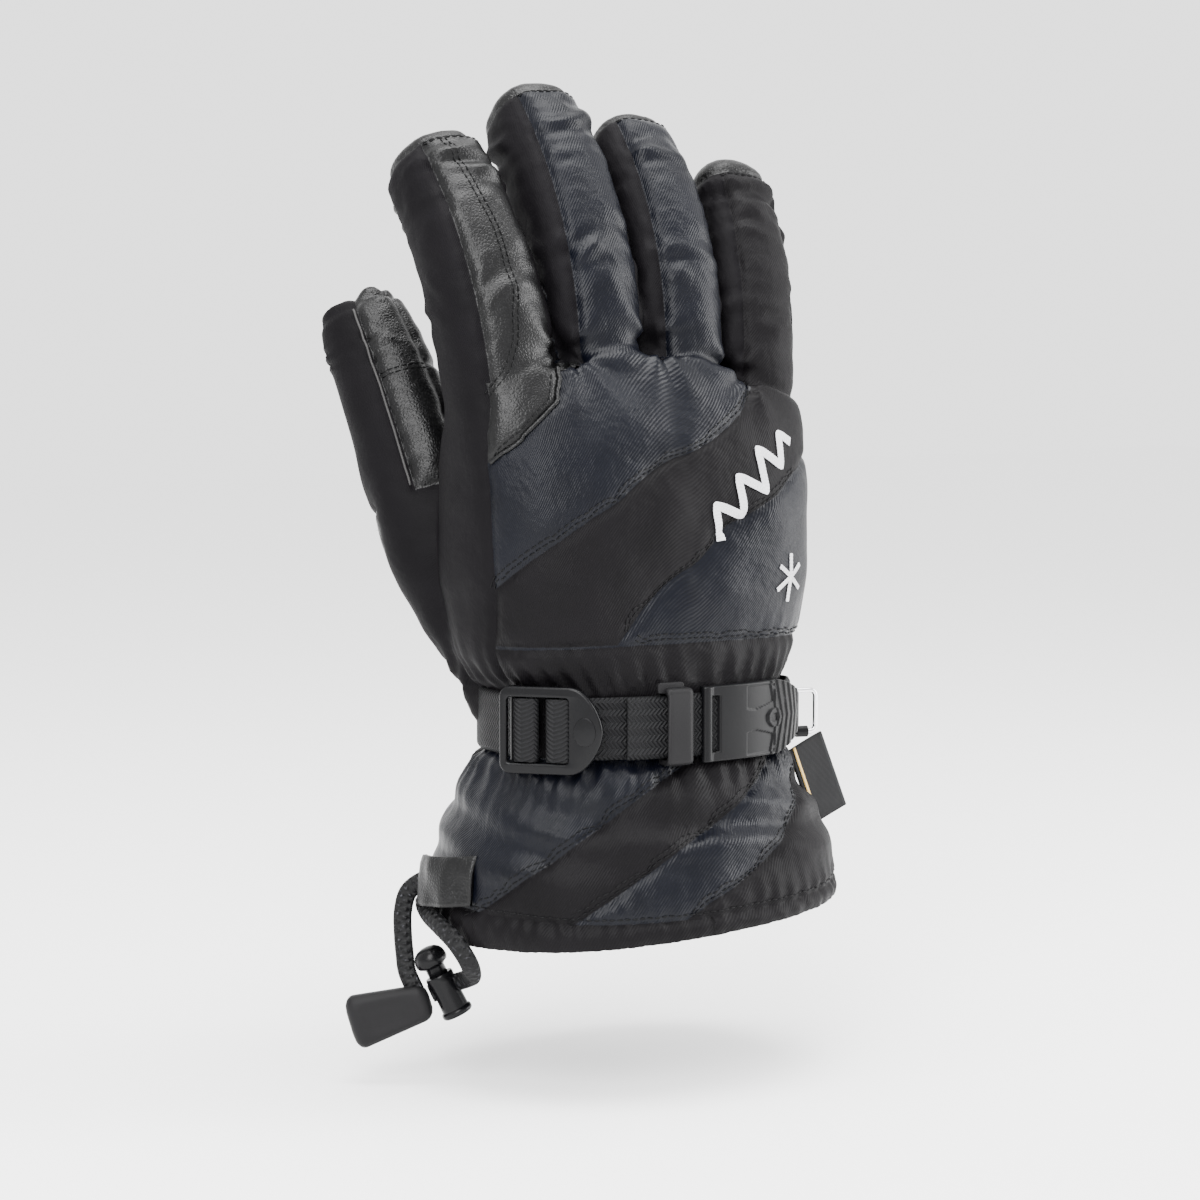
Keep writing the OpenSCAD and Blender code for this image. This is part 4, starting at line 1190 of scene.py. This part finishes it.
def make_cord(name, leg, node):
    """A flat braided cord, six millimetres wide and three thick, along its own line."""
    path, length = smooth_path(leg, 64)
    path = hung(path)
    tangent = np.gradient(path, axis=0)
    tangent /= np.linalg.norm(tangent, axis=1, keepdims=True)
    side = np.cross(tangent, np.array(HANG @ Vector((0, -1, 0))))
    for _ in range(12):
        side /= np.maximum(np.linalg.norm(side, axis=1, keepdims=True), 1e-6)
        side[1:-1] = (side[:-2] + side[1:-1] + side[2:]) / 3
    side -= (side * tangent).sum(1, keepdims=True) * tangent
    side /= np.linalg.norm(side, axis=1, keepdims=True)
    flat = np.cross(tangent, side)
    turn = np.linspace(0, 2 * np.pi, 24, endpoint=False)
    wide, thick = (signed_pow(w, 0.8)[:, None] for w in (np.cos(turn), np.sin(turn)))
    rings = [c + 3.0 * wide * s + 1.45 * thick * f for c, s, f in zip(path, side, flat)]
    verts, faces = loft(rings)
    cord = make_piece(name, verts, faces)
    volume_out(cord)
    along = np.repeat(np.linspace(0, length, 64), 24)
    round_it = np.tile(turn * 2.2, 64)
    add_weave(cord, np.concatenate([np.stack([along, round_it], 1), [[0, 0], [length, 0]]]))
    finish_piece(cord, "braid")
    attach(cord, "hand")
    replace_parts(cord, node)


def make_lock_and_pull():
    """The cord lock, turned parts with round edges, and the rubber end pull."""
    def in_lock(p):
        c, s = math.cos(LOCK_LEAN), math.sin(LOCK_LEAN)
        q = np.stack([p[:, 0] * c + p[:, 2] * s, p[:, 1], -p[:, 0] * s + p[:, 2] * c], 1)
        return hung(q + np.array(LOCK_AT))
    barrel = lathe("lock_barrel_body", BARREL_TURNED, in_lock)
    head = lathe("lock_plunger_head", HEAD_TURNED, in_lock)
    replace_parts(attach(finish_piece(barrel, "hard_plastic"), "hand"), "lock_barrel")
    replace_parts(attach(finish_piece(head, "hard_plastic"), "plunger"), "lock_plunger")
    rings = []
    for x in np.concatenate([np.linspace(0, 4, 9), np.linspace(5, 23, 20), np.linspace(23.8, 27.4, 10)]):
        share = x / 27.4
        tall, thick = 5.6 + 3.7 * share, 3.7 + 0.4 * share
        shut = min(1, max(x, 0.02) / 3.6), min(1, max(27.42 - x, 0.02) / 4.0)
        end = (1 - (1 - shut[0]) ** 2.2) ** 0.45 * (1 - (1 - shut[1]) ** 2.2) ** 0.45
        t = np.linspace(0, 2 * np.pi, 56, endpoint=False)
        z = signed_pow(np.sin(t), 0.62) * tall * (0.35 + 0.65 * end)
        y = signed_pow(np.cos(t), 0.62) * thick * end
        dip = 0.75 * np.exp(-((share - 0.52) / 0.3) ** 6) * np.exp(-(z / (tall * 0.62)) ** 6)
        y = y - np.sign(y) * dip * (np.abs(y) > thick * 0.4) * end
        rings.append(np.stack([np.full(56, -x), y, z], 1))
    verts, faces = loft(rings)
    lean = math.radians(-16.6)
    q = np.array(verts)
    q = np.stack([q[:, 0] * math.cos(lean) + q[:, 2] * math.sin(lean), q[:, 1],
                  -q[:, 0] * math.sin(lean) + q[:, 2] * math.cos(lean)], 1)
    pull = make_piece("end_pull", hung(q + np.array((-62.2, -26, -25.4))), faces)
    volume_out(pull)
    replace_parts(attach(finish_piece(pull, "rubber_matt"), "hand"), "cord_end_pull")
    return [barrel, head, pull]


def make_cord_tab():
    """The folded leather tab over the front leg, and a strip along its cut edge."""
    t = np.linspace(165.5, 190, 22)
    lift = np.interp(t, [165, 170, 176, 182, 187, 190], [4.4, 6.2, 6.7, 5.6, 2.2, 1.2])
    z = np.linspace(9.5, 24, 14)
    grids = []
    for k in (1.3, 0.0):
        rows = [hand_point(t, level + 0.12 * (t - 165), lift + k + 0.25 * np.sin(t * 0.6 + level * 0.4))
                for level in z]
        grids.append(np.array(rows))
    tab = grid_piece("tab_leather", *grids)
    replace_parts(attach(finish_piece(tab, "leather"), "hand"), "cord_tab")
    edge = grid_piece("tab_cut_edge", grids[0][:, :2] + (-0.1, -0.1, 0), grids[1][:, :2] + (0.1, 0.1, 0))
    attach(finish_piece(edge, "pale_edge_and_highlight"), "hand")


# ---- linings ----
def make_linings():
    """The brushed lining seen in the cuff's mouth, and one inside each digit."""
    t = np.arange(0, 360, 5.0)
    rings = [hand_point(t, np.full(len(t), z), -3.0 - 1.4 * min(1, (z - 1.5) / 8)) for z in
             (1.5, 3, 6, 10, 16, 24, 34, 44, 52, 56, 66, 76, 82, 92, 104, 118, 132, 146)]
    verts, faces = loft(rings, closed_ends=False)
    inner = [p + (np.array([4, 0, p[2]]) - p) * 0.025 for p in verts]
    n, cols, rims = len(verts), len(t), []
    for row, turn in ((0, -1), (len(rings) - 1, 1)):
        rims += [(row * cols + c, row * cols + (c + 1) % cols, row * cols + (c + 1) % cols + n,
                  row * cols + c + n)[::turn] for c in range(cols)]
    inside = [tuple(i + n for i in f[::-1]) for f in faces]
    lining = make_piece("hand_lining_cloth", verts + inner, faces + inside + rims)
    volume_out(lining)
    add_weave(lining, np.zeros((len(lining.data.vertices), 2)))
    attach(finish_piece(lining, "lining"), "hand")
    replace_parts(lining, "hand_lining", "insulation", "waterproof_insert")
    for name, digit in DIGITS.items():
        start = 0.38 if name == "thumb" else 0.04
        verts, faces = loft(digit.rings(np.linspace(start, 0.95, 26), 32, -3.6))
        piece = make_piece(name + "_lining_cloth", verts, faces)
        volume_out(piece)
        add_weave(piece, np.zeros((len(piece.data.vertices), 2)))
        finish_piece(piece, "lining")
        bend_with(piece, name)
        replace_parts(piece, name + "_lining")


# ---- stitching ----
def stitch_tree():
    """Stitches laid end to end along a line: each is a short thread, pinched at its ends."""
    tree = bpy.data.node_groups.new("stitch_row", "GeometryNodeTree")
    face = tree.interface
    face.new_socket("Geometry", in_out="INPUT", socket_type="NodeSocketGeometry")
    for label in ("Pitch", "Stitch Length", "Thread Radius"):
        face.new_socket(label, in_out="INPUT", socket_type="NodeSocketFloat")
    face.new_socket("Thread", in_out="INPUT", socket_type="NodeSocketMaterial")
    face.new_socket("Geometry", in_out="OUTPUT", socket_type="NodeSocketGeometry")
    new, link = tree.nodes.new, tree.links.new
    source, sink = new("NodeGroupInput"), new("NodeGroupOutput")
    steps = new("GeometryNodeCurveToPoints")
    steps.mode = "LENGTH"
    link(source.outputs["Geometry"], steps.inputs["Curve"])
    link(source.outputs["Pitch"], steps.inputs["Length"])
    thread = new("GeometryNodeMeshUVSphere")
    thread.inputs["Segments"].default_value, thread.inputs["Rings"].default_value = 6, 4
    thread.inputs["Radius"].default_value = 1.0
    half = new("ShaderNodeMath")
    half.operation = "MULTIPLY"
    half.inputs[1].default_value = 0.5
    link(source.outputs["Stitch Length"], half.inputs[0])
    size = new("ShaderNodeCombineXYZ")
    link(source.outputs["Thread Radius"], size.inputs[0])
    link(source.outputs["Thread Radius"], size.inputs[1])
    link(half.outputs[0], size.inputs[2])
    lay = new("GeometryNodeInstanceOnPoints")
    link(steps.outputs["Points"], lay.inputs["Points"])
    link(thread.outputs["Mesh"], lay.inputs["Instance"])
    link(steps.outputs["Rotation"], lay.inputs["Rotation"])
    link(size.outputs[0], lay.inputs["Scale"])
    real, coat = new("GeometryNodeRealizeInstances"), new("GeometryNodeSetMaterial")
    link(lay.outputs[0], real.inputs[0])
    link(real.outputs[0], coat.inputs["Geometry"])
    link(source.outputs["Thread"], coat.inputs["Material"])
    link(coat.outputs[0], sink.inputs[0])
    return tree


def stitch_piece(name, lines, tree, pitch=2.5, length=2.1, radius=0.26, finish="thread"):
    """One piece with a stitch row along each line of points in millimetres."""
    curve = bpy.data.curves.new(name, "CURVE")
    curve.dimensions = "3D"
    for line in lines:
        spline = curve.splines.new("POLY")
        spline.points.add(len(line) - 1)
        for point, q in zip(spline.points, line):
            point.co = (*(np.asarray(q) * MM), 1)
    holder = bpy.data.objects.new(name + "_lines", curve)
    bpy.context.scene.collection.objects.link(holder)
    rows = holder.modifiers.new("rows", "NODES")
    rows.node_group = tree
    ids = {i.name: i.identifier for i in tree.interface.items_tree if i.in_out == "INPUT"}
    sizes = {"Pitch": pitch * MM, "Stitch Length": length * MM, "Thread Radius": radius * MM}
    for label, value in sizes.items():
        rows[ids[label]] = value
    rows[ids["Thread"]] = FINISHES[finish]
    depsgraph = bpy.context.evaluated_depsgraph_get()
    mesh = bpy.data.meshes.new_from_object(holder.evaluated_get(depsgraph), depsgraph=depsgraph)
    bpy.data.objects.remove(holder)
    mesh.shade_smooth()
    piece = bpy.data.objects.new(name, mesh)
    bpy.context.scene.collection.objects.link(piece)
    return piece


class Skin:
    """The finished outer surface, for laying thread and piping on it."""

    def __init__(self, verts, tris):
        self.tree = BVHTree.FromPolygons(verts.tolist(), tris.tolist())

    def lay(self, points, lift=0.0):
        """The nearest places on the skin, lifted off it, and its normals there."""
        found = [self.tree.find_nearest(Vector(p)) for p in points]
        place = np.array([f[0] for f in found])
        normal = np.array([f[1] for f in found])
        return place + lift * normal, normal

    def rows(self, points, offsets, lift=0.12):
        """Lines beside a line on the surface, at each offset in millimetres."""
        place, normal = self.lay(points)
        ahead = np.gradient(place, axis=0)
        aside = np.cross(normal, ahead)
        aside /= np.maximum(np.linalg.norm(aside, axis=1, keepdims=True), 1e-6)
        for _ in range(4):
            aside[1:-1] = (aside[:-2] + 2 * aside[1:-1] + aside[2:]) / 4
        return [self.lay(place + aside * o, lift)[0] for o in offsets]


def along_table(table, step=1.5):
    """Points on the hand along a seam given as (direction, level) pairs."""
    pairs = np.array(table, float)
    far = np.concatenate([[0], np.cumsum(np.hypot(np.diff(pairs[:, 0]) * 0.95, np.diff(pairs[:, 1])))])
    at = np.arange(0, far[-1], step)
    return hand_point(np.interp(at, far, pairs[:, 0]), np.interp(at, far, pairs[:, 1]))


def cuff_seam(start):
    """Points down a slanted seam of the cuff."""
    z = np.arange(8.5, STRAP_LO - 2, 1.0)
    return hand_point(start - CUFF_SHEAR * (STRAP_LO - z), z)


def on_digit(name, pairs, step=1.2):
    """Points on a digit along (share of length, direction) pairs."""
    d, pairs = DIGITS[name], np.array(pairs, float)
    steps = np.hypot(np.diff(pairs[:, 0]) * d.length, np.diff(pairs[:, 1]) * 0.28)
    far = np.concatenate([[0], np.cumsum(steps)])
    at = np.arange(0, far[-1], step)
    s, turn = np.interp(at, far, pairs[:, 0]), np.radians(np.interp(at, far, pairs[:, 1]))
    ax, ay = d.axes(s)
    k = d.keep(s)[:, None]
    return d.centre(s) + signed_pow(np.cos(turn), 0.8)[:, None] * d.width / 2 * k * ax \
        + signed_pow(np.sin(turn), 0.8)[:, None] * d.depth / 2 * k * ay


def piping(name, line, radius, finish):
    """A round cord of cloth or leather laid along a line of points."""
    curve = bpy.data.curves.new(name, "CURVE")
    curve.dimensions, curve.bevel_depth, curve.bevel_resolution = "3D", radius * MM, 3
    curve.use_fill_caps = True
    spline = curve.splines.new("POLY")
    spline.points.add(len(line) - 1)
    for point, q in zip(spline.points, line):
        point.co = (*(q * MM), 1)
    mesh = mesh_of_curve(curve)
    mesh.name = name
    mesh.shade_smooth()
    piece = bpy.data.objects.new(name, mesh)
    bpy.context.scene.collection.objects.link(piece)
    volume_out(piece)
    return finish_piece(piece, finish)


UPPER_RUN = [p for p in UPPER_SEAM if 200 <= p[0] <= 300]
U_PATCH = [(0.9, 262), (0.75, 267), (0.5, 272), (0.25, 271), (0.1, 266), (0.02, 256), (-0.04, 240),
           (-0.07, 228)]


def make_stitching(skin):
    """Topstitching: twin rows beside the seams, rows at the hem and tips, and the patch's outline."""
    tree = stitch_tree()
    rows = []
    rows += skin.rows(along_table(UPPER_RUN), (1.5, 3.2))
    rows += skin.rows(along_table([p for p in MIDDLE_SEAM if 252 <= p[0] <= 318]), (1.4, 3.0))
    rows += skin.rows(along_table([(256, 92), (272, 92), (346, 90)]), (1.4, 3.1))
    for start in CUFF_SEAMS[:3]:
        rows += skin.rows(cuff_seam(start), (1.3, 3.1))
    rows += skin.rows(cuff_seam(CUFF_SEAMS[3]), (1.3,))
    hem = [(t, float(lookup(t % 360, HEM_TOP)) + 1.4) for t in np.arange(0, 361, 2.0)]
    rows += skin.rows(along_table(hem), (0.0,))
    rows += skin.rows(along_table([(201, 151.5), (220, 160), (236, 170), (240, 178)]), (1.1,))
    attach(stitch_piece("hand_stitching", rows, tree), "hand")
    patch = skin.rows(on_digit("index", U_PATCH), (-0.9, 0.9))
    for name in FINGERS:
        tip = TIP_SHARE[name] - 0.02
        lines = skin.rows(on_digit(name, [(tip, 238), (tip, 318)]), (0.0, 1.5))
        piece = stitch_piece(name + "_stitching", lines + (patch if name == "index" else []), tree)
        bend_with(piece, name)
    lines = skin.rows(on_digit("thumb", [(0.7, 268), (0.7, 318)]), (0.0, 1.6))
    bend_with(stitch_piece("thumb_stitching", lines, tree), "thumb")
    # A thin pale line along the thumb's leather edge: a painted highlight for the leather's bright reflection
    # there.
    edge = skin.lay(on_digit("thumb", [(0.93, 262), (0.37, 262)]), 0.25)[0]
    bend_with(piping("thumb_edge", edge, 0.4, "pale_edge_and_highlight"), "thumb")
    roll = skin.lay(along_table([(200, 151), (220, 159), (238, 170), (242.5, 178), (243, 183)]), 0.3)[0]
    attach(piping("knuckle_roll", roll, 0.75, "leather"), "hand")
    return tree


def make_embroidery(skin, tree):
    """A plain ridge line of four peaks and a six-armed snow star, in pale fill stitches."""
    peaks = [(0, 0), (5, 10), (10, 1), (16, 13), (22, 2), (28, 15), (34, 3), (40, 12), (45, 5)]
    lean = math.radians(35)
    ridge = []
    for x, y in peaks:
        across, up = x * math.cos(lean) - y * math.sin(lean), x * math.sin(lean) + y * math.cos(lean)
        ridge.append((277 + across, 125 + up))
    offsets = np.linspace(-1.25, 1.25, 7)
    lines = skin.rows(along_table(ridge, 0.8), offsets, 0.35)
    for k in range(3):
        a = math.radians(30 + 60 * k)
        across, up = 8 * math.cos(a), 7.5 * math.sin(a)
        arm = [(307 - across, 111 - up), (307 + across, 111 + up)]
        lines += skin.rows(along_table(arm, 0.8), (-0.5, 0.0, 0.5), 0.35)
    piece = stitch_piece("embroidered_ridge", lines, tree, 1.1, 1.5, 0.3, "embroidery")
    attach(piece, "hand")


def paint_frame_parts():
    """The frame's own wire ring, collar and spring keep their shape and get their metal and plastic."""
    kept = {"clip_ring": "chrome_wire", "clip_collar": "hard_plastic", "lock_spring": "spring_steel"}
    for node, finish in kept.items():
        for place in bpy.data.objects[node].material_slots:
            place.material = FINISHES[finish]


# ---- the whole glove ----
make_camera()
lock_pieces = make_lock_and_pull()
make_cord("cord_front", FRONT_LEG, "drawcord_front")
make_cord("cord_rear", REAR_LEG, "drawcord_rear")
make_studio()
skin_verts, skin_tris, skin_sides = cut_into_panels(*glove_form())
skin_names = panel_names(skin_verts, skin_tris, skin_sides)
skin_verts = dressed(skin_verts, skin_tris, skin_names)
make_panels(skin_verts, skin_tris, skin_names)
make_linings()
surface = Skin(skin_verts, skin_tris)
stitch_rows = make_stitching(surface)
make_embroidery(surface, stitch_rows)
make_strap()
make_buckle()
make_keeper()
make_pull_tab()
make_clip()
make_cord_tab()
paint_frame_parts()
